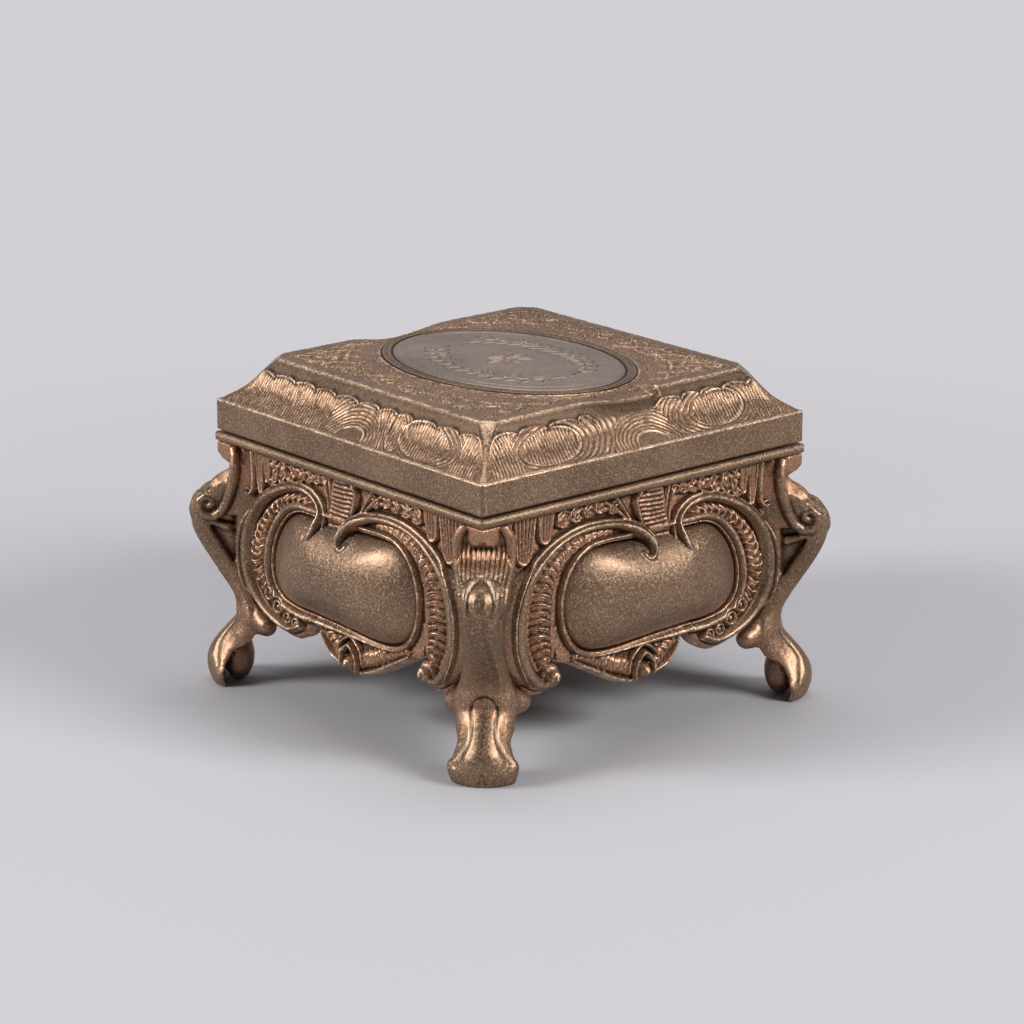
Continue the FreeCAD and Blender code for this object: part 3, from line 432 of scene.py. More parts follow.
# From here on in millimetres. Frieze under the rim: left, right and lower end of a flute and the number
# of its ribs; place, half width and half height of a scale
FLUTES = [
    (-35.6, -32.9, 43.0, 3), (-32.6, -26.8, 41.0, 6), (-26.5, -22.2, 44.2, 5), (26.6, 29.0, 44.6, 3),
    (28.8, 31.4, 42.0, 4)]
FLUTE_TOP = 50.6
SCALES = [
    (-19.9, 48.4, 2.2, 1.9), (-16.4, 48.8, 2.4, 1.7), (-13.2, 48.9, 2.1, 1.6), (-10.2, 49.1, 2.1, 1.5),
    (-7.0, 48.2, 1.8, 1.3), (9.4, 49.3, 1.7, 1.2), (11.6, 49.1, 1.9, 1.4), (14.2, 49.0, 2.1, 1.6),
    (17.1, 48.8, 2.3, 1.8), (20.2, 48.6, 2.4, 2.1), (23.3, 48.1, 2.4, 2.6), (26.0, 47.4, 2.2, 3.2)]
FAR_HOLLOW = [(33.2, 50.9, 0.75), (33.3, 48.4, 1.0), (33.2, 45.6, 0.95), (33.0, 43.4, 0.7)]
# Raised lines: half width, height, share of copper ground, and the rows of the line
FRIEZE_LINES = [
    (0.6, 1.7, 0.8, [(31.9, 50.2), (31.7, 47.4), (31.6, 44.6), (31.9, 42.6), (32.9, 41.3), (34.0, 41.3)]),
    (0.6, 1.5, 0.8, [(35.0, 50.4), (35.1, 47.0), (34.9, 44.0), (34.2, 42.2)]),
    (0.6, 1.2, 0.8, [(-9.4, 49.8), (-7.2, 48.4), (-4.8, 46.2), (-2.4, 43.6)]),
    (0.6, 1.2, 0.8, [(-6.6, 50.2), (-5.2, 48.4), (-3.4, 45.8), (-1.4, 43.2)]),
    (0.6, 1.2, 0.8, [(9.0, 49.8), (7.9, 47.8), (7.3, 45.2), (7.2, 43.2)]),
    (0.6, 1.2, 0.8, [(7.2, 50.2), (6.6, 48.0), (6.4, 45.0), (6.6, 42.6)])]
APRON_LINES = [
    (0.7, 1.2, 0.2, [(-17.2, 18.9), (-12.4, 16.4), (-8.0, 14.1), (-5.0, 12.8), (-2.4, 12.0)]),
    (0.7, 1.2, 0.2, [(3.8, 12.5), (6.9, 13.6), (9.0, 15.5), (10.5, 17.5)]),
    (0.7, 2.1, 0.3, [(-1.7, 12.3), (-1.7, 14.8), (0.6, 17.3), (3.0, 15.2), (3.2, 12.8)]),
    (0.5, 1.5, 0.5, [(-3.0, 14.0), (-2.6, 16.5), (0.6, 18.9), (4.0, 16.8), (4.8, 14.4)])]
SHELL = [(1.5, 50.3, 3.7), (2.1, 48.0, 3.65), (2.9, 45.0, 3.4), (3.8, 42.6, 3.0), (4.8, 40.2, 2.6)]
ROSETTES = [(27.0, 21.6, 1.7), (24.2, 19.4, 1.7), (21.2, 17.7, 1.4), (18.6, 17.3, 1.2)]
GARLAND = [
    (-10.5, 20.7, 0.5, 0.7), (-6.0, 21.0, 0.9, 1), (0.0, 21.4, 1, 1), (6.0, 21.6, 0.9, 1),
    (12.0, 21.3, 0.5, 0.7)]
NEAR_APRON = [(-1.5, 14.2, 0.8, 1), (-5.8, 16.0, 1, 1), (-10.4, 17.8, 0.9, 0.9), (-16.5, 19.9, 0.4, 0.6)]
FAR_APRON = [(2.5, 14.0, 0.8, 1), (5.6, 15.9, 1, 1), (8.3, 17.9, 0.8, 0.9), (11.2, 19.7, 0.4, 0.6)]
COVE_BASE = 49.3
PANEL_COLUMNS, PANEL_ROWS = 500, 256


def face(rows):
    """Rows in shares of the panel, with the place in millimetres."""
    made = np.array(rows, float)
    made[:, 0] *= PANEL_HALF
    made[:, 1] = APRON + made[:, 1] * PANEL_RISE
    return made


class Relief:
    """Heights over a face, with the share of the worked copper ground."""

    def __init__(self, place):
        self.place = place
        self.height = np.zeros(len(place))
        self.ground = np.ones(len(place))

    def lay(self, which, height, soft=0.3, ground=0.0):
        """Raises a form out of what is below it, with a fillet."""
        before = self.height[which]
        share = ease(-0.05, 0.2, height - before)
        self.ground[which] += (ground - self.ground[which]) * share
        self.height[which] = soft_max(before, height, soft)

    def overlay(self, which, height, share, ground):
        """Lays a form over what is below it."""
        self.height[which] += (height - self.height[which]) * share
        self.ground[which] += (ground - self.ground[which]) * share

    def scale(self, across, up, wide, high, tall=1.35):
        """Round scale with a raised rim and an inner curl, over its neighbours."""
        x, y = (self.place[:, 0] - across) / wide, (self.place[:, 1] - up) / high
        far = np.hypot(x, y)
        which = np.nonzero(far < 1.2)[0]
        far, x = far[which], x[which]
        rim = 0.44 * bell(far - 0.87, 0.1) * (0.7 - 0.3 * x)
        curl = 0.16 * bell(np.hypot(x - 0.15, y[which] + 0.12) - 0.46, 0.12)
        grain = 0.17 * noise(self.place[which], 0.42, 55)
        height = tall * (0.38 + 0.1 * (1 - far ** 2) - 0.14 * x + rim + curl + grain)
        self.overlay(which, height, ease(1.08, 0.97, far), 0.9)

    def rosette(self, across, up, radius, level, tall):
        """Ring with a round seed."""
        far = np.hypot(self.place[:, 0] - across, self.place[:, 1] - up) / radius
        which = np.nonzero(far < 1.3)[0]
        far = far[which]
        ring = bell(far - 0.74, 0.2) + 0.85 * bell(far, 0.28)
        self.overlay(which, level + tall * ring, ease(1.2, 1.0, far), 0.6)

    def band(self, rows, half, height, outer):
        """Round scroll band with a fine line along each side, spreading outwards where it is wide."""
        near = Near(rows, self.place, half * 2.6)
        width, tall = near.columns[0] * half, near.columns[1] * height
        x = outer * near.side / width
        spread = np.where(x > 0, 1 + 1.2 * ease(0.72, 0.95, near.columns[0]), 1.0)
        round_top = 1 - np.abs(x / spread) ** 2.3 - (near.beyond / width) ** 2
        lines = 0.42 * bell((x - 0.94) * width, 0.2) + 0.3 * bell((x + 0.98) * width, 0.2)
        groove = 0.12 * bell((x - 0.55) * width, 0.24)
        self.lay(near.which, tall * (round_top + lines - groove), 0.2, 0.1)

    def ruffle(self, rows, half, height, pitch, bow=0.0, lean=0.0, cut=0.5, fringe=0.25, ground=1.0, seed=40):
        """Band of overlapping lacy leaves, uneven as cast work is."""
        near = Near(rows, self.place, half * 1.4)
        width, tall = near.columns[0] * half, near.columns[1] * height
        x = near.side / width
        uneven = noise(self.place[near.which], 2.3, seed)
        turn = (near.along / pitch + bow * x * x + lean * x + 0.2 * uneven) % 1.0
        leaf = bell(turn - 0.16, 0.13) + 0.55 * bell(turn - 0.5, 0.12) + 0.35 * bell(turn - 0.8, 0.1)
        leaf = leaf * (0.85 + 0.3 * noise(self.place[near.which], 0.7, seed + 1))
        x = x / (1 - fringe + fringe * unit(leaf))
        section = 1 - np.abs(x) ** 3 - (near.beyond / width) ** 2
        tall = tall * (1 + 0.15 * uneven)
        self.lay(near.which, tall * section * np.where(section > 0, 1 - cut + cut * leaf, 1.0), 0.12, ground)

    def line(self, rows, half, height, ground=0.2, soft=0.25):
        """Plain raised line of even height."""
        near = Near(rows, self.place, half * 2)
        self.lay(near.which, ridge(near.gap, half, height), soft, ground)

    def volute(self, centre, radius, level, height, turns=1.5, depth=0.4):
        """Domed end of a scroll with a spiral line."""
        away = self.place - np.array(centre)
        far = np.hypot(*away.T)
        which = np.nonzero(far < radius * 1.3)[0]
        far, angle = far[which] / radius, np.arctan2(away[which, 1], away[which, 0]) / (2 * math.pi)
        spiral = rib(far * turns - angle, 4.0) * ease(0.12, 0.3, far)
        self.lay(which, level + height * (1 - far ** 2) - depth * spiral, 0.2, 0.25)

    def flute(self, left, right, low, ribs, tall=1.25):
        """Hanging ribbed flute that narrows to a round end, with a raised border."""
        up = unit((self.place[:, 1] - low) / (FLUTE_TOP - low))
        half = (right - left) / 2 * (0.42 + 0.58 * np.sqrt(up))
        x = (self.place[:, 0] - (left + right) / 2 + 0.5 * (1 - up)) / half
        end = np.maximum(low + half - self.place[:, 1], 0) / half
        far = np.hypot(x, end)
        which = np.nonzero((far < 1.2) & (self.place[:, 1] > low - 0.5))[0]
        far, x = far[which], x[which]
        border = 0.36 * bell((far - 0.9) * half[which], 0.26)
        ribbed = 0.3 * rib(x * ribs / 2 + 0.5) * ease(0.86, 0.74, far)
        height = tall * (0.42 + 0.22 * (1 - x * x) + border + ribbed)
        self.overlay(which, height, ease(1.1, 0.96, far), 0.85)

    def leaf(self, start, end, half, height):
        """Pointed leaf with a crease along its middle."""
        t = np.linspace(0, 1, 6)[:, None]
        width = np.maximum(np.sin(math.pi * t ** 0.8), 0.08)
        rows = np.hstack([np.asarray(start) * (1 - t) + np.asarray(end) * t, width])
        near = Near(rows, self.place, half * 1.5)
        crease = 0.3 * height * bell(np.abs(near.side), 0.14)
        self.lay(near.which, ridge(near.gap, near.columns[0] * half, height) - crease, 0.08, 0.0)

    def hollow(self, rows, half, depth):
        """Leaf-shaped hollow with a raised edge."""
        near = Near(rows, self.place, half * 2)
        width = near.columns[0] * half
        x = near.gap / width
        self.lay(near.which, ridge(np.abs(x - 1.15) * width, 0.45, 1.2), 0.2, 0.3)
        self.height[near.which] -= depth * ease(1.05, 0.5, x)


def boss_share(place, outline):
    """Share of the way from the middle of the boss to its outline, smoothed round the boss."""
    middle = np.array(face([BOSS_CENTRE])[0])
    ring = smooth_path(outline, closed=True) - middle
    turns = np.linspace(-math.pi, math.pi, 721)
    angle = np.arctan2(ring[:, 1], ring[:, 0])
    order = np.argsort(angle)
    radius = np.interp(turns, angle[order], np.hypot(*ring[order].T), period=2 * math.pi)
    half = 8
    padded = np.concatenate([radius[-half - 1:-1], radius, radius[1:half + 1]])
    width = 2 * half + 1
    radius = np.convolve(padded, np.full(width, 1 / width), mode="valid")
    away = place - middle
    return np.hypot(*away.T) / np.interp(np.arctan2(away[:, 1], away[:, 0]), turns, radius)


def panel_relief(place):
    """Cast work of one panel."""
    relief = Relief(place)
    for row in SCALES:
        relief.scale(*row)
    for row in FLUTES:
        relief.flute(*row)
    relief.hollow(FAR_HOLLOW, half=1.75, depth=2.0)
    for half, height, ground, rows in FRIEZE_LINES:
        relief.line(rows, half, height, ground)

    # Ribbed shell with an arched top
    near = Near(SHELL, place, 5)
    x = near.side / near.columns[0]
    arch = np.hypot(x, np.maximum(1.6 - near.along, 0) / 2.6)
    ribs = 0.5 * rib((near.along - 1.2 * x) / 1.0, 0.9) * ease(0.92, 0.72, arch)
    border = 0.55 * bell((arch - 0.92) * near.columns[0], 0.34)
    share = ease(1.12, 1.02, arch) * ease(1.2, 0.4, np.abs(near.beyond))
    relief.overlay(near.which, 1.0 - 0.2 * x * x + ribs + border, share, 0.75)

    # Boss with its groove and frame, which is broad and smooth on the far side
    outline = face(BOSS)
    near = Near(outline, place, 4, closed=True)
    far_side = ease(-12.0, 20.0, place[near.which, 0])
    middle = near.side - 0.95 - 0.65 * far_side
    relief.lay(near.which, ridge(middle, 0.55 + 0.6 * far_side, 1.3 + 0.5 * far_side), 0.2, 0.35)
    relief.lay(near.which, ridge(near.side - 0.36, 0.3, 1.15), 0.12, 0.9)
    share = boss_share(place, outline)
    which = np.nonzero(share < 1)[0]
    relief.lay(which, BOSS_HEIGHT * (1 - share[which] ** 2.1) ** 0.68 - 0.3, 0.1, 0.0)
    relief.height[near.which] -= 0.45 * bell(near.side + 0.02, 0.24)

    # Ruffles, scrolls and their curled ends
    relief.ruffle(face(NEAR_RUFFLE), half=3.0, height=2.1, pitch=1.6, bow=-1.0, lean=-0.5, cut=0.66, seed=41)
    relief.ruffle(face(FAR_RUFFLE), half=2.5, height=2.1, pitch=1.8, bow=0.75, lean=0.1, cut=0.66, seed=42)
    for across, up, radius in ROSETTES:
        relief.rosette(across, up, radius, level=0.55, tall=0.9)
    relief.band(face(NEAR_SCROLL), BAND_HALF, BAND_HEIGHT, -1)
    relief.band(face(FAR_SCROLL), BAND_HALF, BAND_HEIGHT, 1)
    relief.volute((-22.9, 17.3), radius=2.5, level=0.8, height=2.1, turns=1.8)

    # Apron
    relief.ruffle(GARLAND, half=1.1, height=1.9, pitch=1.2, lean=0.6, cut=0.4, seed=43)
    relief.ruffle(NEAR_APRON, half=2.4, height=1.7, pitch=1.6, bow=0.9, seed=44)
    relief.ruffle(FAR_APRON, half=2.2, height=1.7, pitch=1.5, bow=0.9, seed=45)
    for half, height, ground, rows in APRON_LINES:
        relief.line(rows, half, height, ground)
    relief.volute((0.8, 13.4), radius=1.6, level=1.2, height=1.5, turns=1.0, depth=0.2)

    # Cove under the rim and the grain of the casting
    cove = unit((place[:, 1] - COVE_BASE) / (RIM_BASE - COVE_BASE))
    relief.lay(np.nonzero(cove > 0)[0], 2.1 * cove[cove > 0] ** 2 - 0.1, 0.3, 0.25)
    grain = 0.5 * noise(place, 0.42, 51) + 0.5 * noise(place, 0.8, 52)
    relief.height += (0.03 + 0.1 * unit(relief.ground)) * grain
    return relief


def box_blur(height, half):
    """Mean over a square, twice, so that it fades softly."""
    width = 2 * half + 1
    for axis in (1, 0, 1, 0):
        margin = [(half + 1, half) if k == axis else (0, 0) for k in range(2)]
        total = np.pad(height, margin, mode="edge").cumsum(axis)
        size = total.shape[axis]
        ahead, behind = [np.take(total, run, axis) for run in (range(width, size), range(size - width))]
        height = (ahead - behind) / width
    return height


def panel_surface():
    """Points, faces and fields of the front panel."""
    runs = np.vstack([smooth_path(face(rows), 0.22) for rows in (FAR_LOBE, PENDANT, NEAR_LOBE)])
    edge = runs[np.argsort(runs[:, 0], kind="stable")]
    count = PANEL_COLUMNS
    columns = np.linspace(-PANEL_HALF, PANEL_HALF, count)
    low = np.interp(columns, edge[:, 0], edge[:, 1])
    up = low[None] + (RIM_BASE - low)[None] * np.linspace(0, 1, PANEL_ROWS)[:, None]
    place = np.column_stack([np.broadcast_to(columns, up.shape).ravel(), up.ravel()])
    relief = panel_relief(place)
    height = relief.height.reshape(up.shape)
    none = np.zeros(count)
    sunk = np.concatenate([none, (box_blur(height, 7) - height).ravel(), none])
    p = np.pad(height, 1, mode="edge")
    height = (4 * height + 2 * (p[1:-1, :-2] + p[1:-1, 2:] + p[:-2, 1:-1] + p[2:, 1:-1])
              + p[:-2, :-2] + p[:-2, 2:] + p[2:, :-2] + p[2:, 2:]) / 16
    flat = height.ravel()
    # The lower edge is rounded off
    rim = Near(runs[::3], place, 2)
    flat[rim.which] -= 0.9 * unit(1 - np.abs(rim.side) / 0.9) ** 2
    front = np.column_stack([place[:, 0], -(PANEL_FACE + flat), place[:, 1]])
    behind = np.full(count, -PANEL_HALF)
    back_low = np.column_stack([columns, behind, low])
    back_top = np.column_stack([columns, behind, np.full(count, RIM_BASE)])
    points = np.vstack([back_low, front, back_top])
    quads = grid_quads(PANEL_ROWS + 2, count)
    last = len(points) - count
    bottom = np.arange(count)
    flat_back = np.column_stack([bottom[1:], bottom[:-1], last + bottom[:-1], last + bottom[1:]])
    loop = np.arange(PANEL_ROWS + 2) * count
    ends = [loop[None, ::-1], (loop + count - 1)[None]]
    stand, _ = convexity(points, np.vstack([quads, flat_back]), 10)
    broken = 0.75 + 0.55 * noise(points, 0.75, 53) + 0.25 * noise(points, 3.2, 54)
    wear = unit(stand / 0.2 - 0.05) * np.clip(broken, 0, 1.3) * ease(1.0, -0.2, sunk)
    hollow = unit(unit(-stand / 0.16) + 0.42 * ease(0.4, 1.6, sunk))
    ground = np.concatenate([none + 1, relief.ground, none + 1])
    return points, [quads, flat_back] + ends, {"wear": wear, "hollow": hollow, "ground": ground}


panel_points, panel_faces, panel_fields = panel_surface()
flipped, flipped_faces = panel_points[:, [1, 0, 2]], reversed_faces(panel_faces)
for name, points, faces in (("front_panel", panel_points, panel_faces),
                            ("back_panel", turned(panel_points, 180), panel_faces),
                            ("left_panel", flipped, flipped_faces),
                            ("right_panel", turned(flipped, 180), flipped_faces)):
    cast(name + "_cast", points, faces, panel_fields, "casket_body", name)

# Lid: one closed sweep round the square, from the hollow underside over the slope to the medallion's seat
SIDE_COLUMNS = 560
TOP_ROWS = 84
CORNER_ROUND = 0.7
LID_INSIDE = ((31.6, 66.3), (35.0, 54.0))
# Half size, height and wear of the rows under the lid's edge and at the top of its fascia
LID_FOOT = [
    (37.2, 54.0, 0), (37.2, SEAT, 0), (39.4, SEAT, 0), (41.5, SEAT, 0.2), (41.85, SEAT + 0.15, 0.6),
    (42.0, SEAT + 0.5, 0.12)]
FASCIA_EDGE = [
    (42.0, FASCIA_TOP - 0.45, 0.12), (41.93, FASCIA_TOP - 0.2, 0.95), (41.75, FASCIA_TOP - 0.05, 1.2)]
# Half size and height up the slope, and height and reach of the flats on its mitres
SLOPE_PATH = [
    (41.5, 59.7), (40.3, 60.5), (39.0, 61.4), (37.8, 62.5), (36.75, 63.9), (35.85, 65.6), (34.9, 67.4),
    (34.0, 68.7)]
MITRE_FLAT = [
    (SEAT - 1, 80.0), (FASCIA_TOP - 0.3, 58.5), (60.5, 56.6), (61.4, 54.8), (62.5, 53.0), (63.9, 51.3),
    (65.6, 49.6), (67.4, 47.6), (LID_TOP, 45.9), (80.0, 45.9)]
# Of the front slope and of the left one: starts of the scallops, the ribbed shells (across, up, half width,
# half height), middle of the arch, height of the scallops, bow of the ribs and where plain ribs begin
FRONT_SLOPE = (
    [-48.0, -41.0, -34.0, -27.8, -20.4, -12.9, -9.1, 7.4, 14.2, 19.3, 25.0, 31.9, 39.0, 48.0],
    [(-21.0, 4.7, 7.2, 3.7), (22.4, 5.0, 6.6, 3.7)], 2.7, 8.2, 0.9, 30.0)
LEFT_SLOPE = (
    [-48.0, -42.0, -35.0, -28.1, -21.3, -14.2, -9.5, -4.0, 2.7, 9.9, 16.5, 23.1, 30.3, 38.0, 48.0],
    [(-19.6, 4.7, 7.0, 3.9), (-11.0, 4.9, 2.4, 4.0)], 0.2, 7.8, 1.0, 8.4)
# Foliage of one quarter of the top: half width and rows of the leaves; lines; centre and radius of the curls
TOP_LEAVES = [
    (0.9, [(33.0, 1.0, 0.5, 1), (29.5, 6.0, 1, 1), (27.6, 12.0, 1, 1), (28.8, 17.0, 0.8, 1),
           (30.4, 15.0, 0.5, 1)]),
    (1.0, [(30.6, 20.0, 0.5, 1), (27.5, 22.5, 1, 1), (24.2, 25.4, 1, 1), (24.6, 29.2, 0.8, 1),
           (27.0, 28.4, 0.6, 1)]),
    (0.8, [(25.0, 20.0, 0.5, 1), (22.4, 24.0, 0.9, 1), (18.0, 28.0, 1, 1), (14.6, 30.6, 0.4, 1)]),
    (0.8, [(27.6, 24.0, 0.5, 1), (30.0, 26.4, 1, 1), (30.6, 29.6, 0.7, 1), (28.6, 30.8, 0.4, 1)]),
    (0.7, [(25.6, 9.0, 0.5, 1), (25.0, 13.5, 1, 1), (25.6, 17.8, 0.4, 1)])]
TOP_LINES = [
    [(24.5, 4.0), (26.4, 7.0), (28.6, 9.5), (30.4, 13.0)],
    [(25.2, 12.0), (26.5, 15.5), (29.0, 18.0), (30.8, 22.0)],
    [(23.6, 18.0), (25.6, 21.0), (28.0, 22.5), (30.8, 25.5)],
    [(20.6, 22.6), (23.0, 25.2), (25.5, 26.6), (29.4, 31.0)],
    [(17.0, 26.0), (19.6, 28.4), (22.8, 29.6), (26.0, 31.0)],
    [(11.6, 29.2), (14.6, 30.2), (18.4, 31.0)],
    [(30.8, 3.0), (28.8, 4.6), (27.2, 3.4), (27.8, 1.6), (29.6, 1.8)]]
TOP_CURLS = [
    ((29.6, 15.6), 1.1), ((26.2, 28.2), 1.2), ((29.2, 22.8), 0.9), ((30.6, 7.4), 0.9), ((21.2, 28.4), 0.8)]


def square_loop(half, u):
    """Points round a square of a half size, side by side from the near corner."""
    run, flat = u * half, half + 0 * u
    x, y = [run, flat, -run, -flat], [-flat, run, flat, -run]
    return np.column_stack([np.concatenate(x), np.concatenate(y)])


def slope_relief(across, up, front):
    """Height, worked share and bright edges of one slope: across from the near corner's side, up along it."""
    starts, outlines, middle, scallop, bow, plain_from = FRONT_SLOPE if front else LEFT_SLOPE
    place = np.column_stack([across, np.full_like(across, up)])
    uneven = noise(place, 2.6, 14)
    arch = np.hypot((across - middle) / 1.2, up - 0.2) - 3.4
    shells = [(np.hypot((across - x - 0.3 * (up - y)) / wide, (up - y) / tall) - 1) * min(wide, tall)
              for x, y, wide, tall in outlines]
    nearest = np.min([arch] + shells, axis=0)
    inside = np.min(shells, axis=0) < 0
    flowing = (across + bow * (((up - 5.2) / 4.6) ** 2 - 1) + 0.12 * uneven) / 0.80
    field = np.where(inside, flowing, nearest / 0.76 + 0.14 * uneven)
    # The far part of a slope has plain upright ribs
    plain = np.maximum(ease(plain_from, plain_from + 1.0, across), ease(-29.4, -30.4, across))
    ribs = rib(field, 1.2) * (1 - plain) + rib(flowing, 1.2) * plain
    ribs = ribs * (0.8 + 0.45 * noise(place, 1.1, 15))
    face_of_arch = ease(0.15, -0.15, arch)
    ribs = ribs * (1 - face_of_arch) + 0.35 * face_of_arch
    edges = [bell(arch, 0.24)]
    for (x, y, wide, tall), away in zip(outlines, shells):
        crest_side = ease(-0.4, 0.6, (across - x) / wide)
        edges.append(bell(away, 0.2 + 0.12 * crest_side) * (0.1 + 1.0 * crest_side))
    border = np.max(edges, axis=0) * (1 - plain)
    starts = np.array(starts)
    which = np.clip(np.searchsorted(starts, across) - 1, 0, len(starts) - 2)
    turn = (across - starts[which]) / (starts[which + 1] - starts[which])
    gap = ease(-9.6, -7.5, across) * ease(7.3, 6.4, across) * front
    crest = scallop + 1.15 * np.sqrt(unit(1 - (2 * turn - 1) ** 2)) * (1.0 - 0.25 * turn)
    crest = crest * (1 - gap) + 7.2 * gap
    worked = ease(0.1 + 1.5 * gap, -0.35 - 1.5 * gap, up - crest) * ease(0.2, 0.6, up)
    lip = bell(up - crest, 0.3) * (0.22 + 0.78 * ease(0.42, 0.12, turn))
    height = worked * (0.22 * ribs - 0.2 + 0.2 * border + 0.08 * uneven)
    height += 0.42 * lip * (1 - gap)
    return height, worked, lip * (1 - gap) + 0.5 * worked * border


def top_relief(place, gap):
    """Low foliage of the lid's top; place in one quarter, gap inwards from the edge."""
    relief = Relief(place)
    relief.ground[:] = 0.3
    for half, rows in TOP_LEAVES:
        relief.ruffle(rows, half, height=0.34, pitch=1.0, bow=0.8, fringe=0.35, ground=0.1, seed=46)
    for rows in TOP_LINES:
        relief.line(rows, half=0.32, height=0.3, soft=0.08)
    for centre, radius in TOP_CURLS:
        relief.volute(centre, radius, level=0.08, height=0.32, turns=1.6, depth=0.16)
    away = np.hypot(place[:, 0] / (OVAL[0] + BEZEL_WIDTH), place[:, 1] / (OVAL[1] + BEZEL_WIDTH)) - 1
    away = away * (OVAL[0] + OVAL[1]) / 2
    for at in (0.8, 1.6):
        relief.height += 0.14 * bell(away - at, 0.2)
    stipple = 0.08 * noise(place, 0.55, 7) + 0.06 * noise(place, 0.34, 8)
    field = ease(2.7, 3.0, gap)
    height = field * (relief.height - 0.30 + stipple)
    for at in (1.9, 2.5):
        height -= 0.10 * bell(gap - at, 0.18)
    return height, relief.ground * field


def lid_corners(points, outer):
    """Flats on the mitres of the slope and rounds on the upright corners; returns how deep the flats are."""
    sized = np.abs(points[:, :2])
    limit = np.interp(points[:, 2], *np.transpose(MITRE_FLAT))
    over = np.where(outer, np.maximum(sized.sum(1) / math.sqrt(2) - limit, 0), 0)
    sized -= over[:, None] / math.sqrt(2)
    core = LID_HALF - CORNER_ROUND
    beyond = np.maximum(sized - core, 0)
    length = np.hypot(*beyond.T)
    shrink = np.where(length > CORNER_ROUND, CORNER_ROUND / np.maximum(length, 1e-6), 1.0)
    sized = np.where(beyond > 0, core + beyond * shrink[:, None], sized)
    points[:, :2] = np.sign(points[:, :2]) * sized
    return over


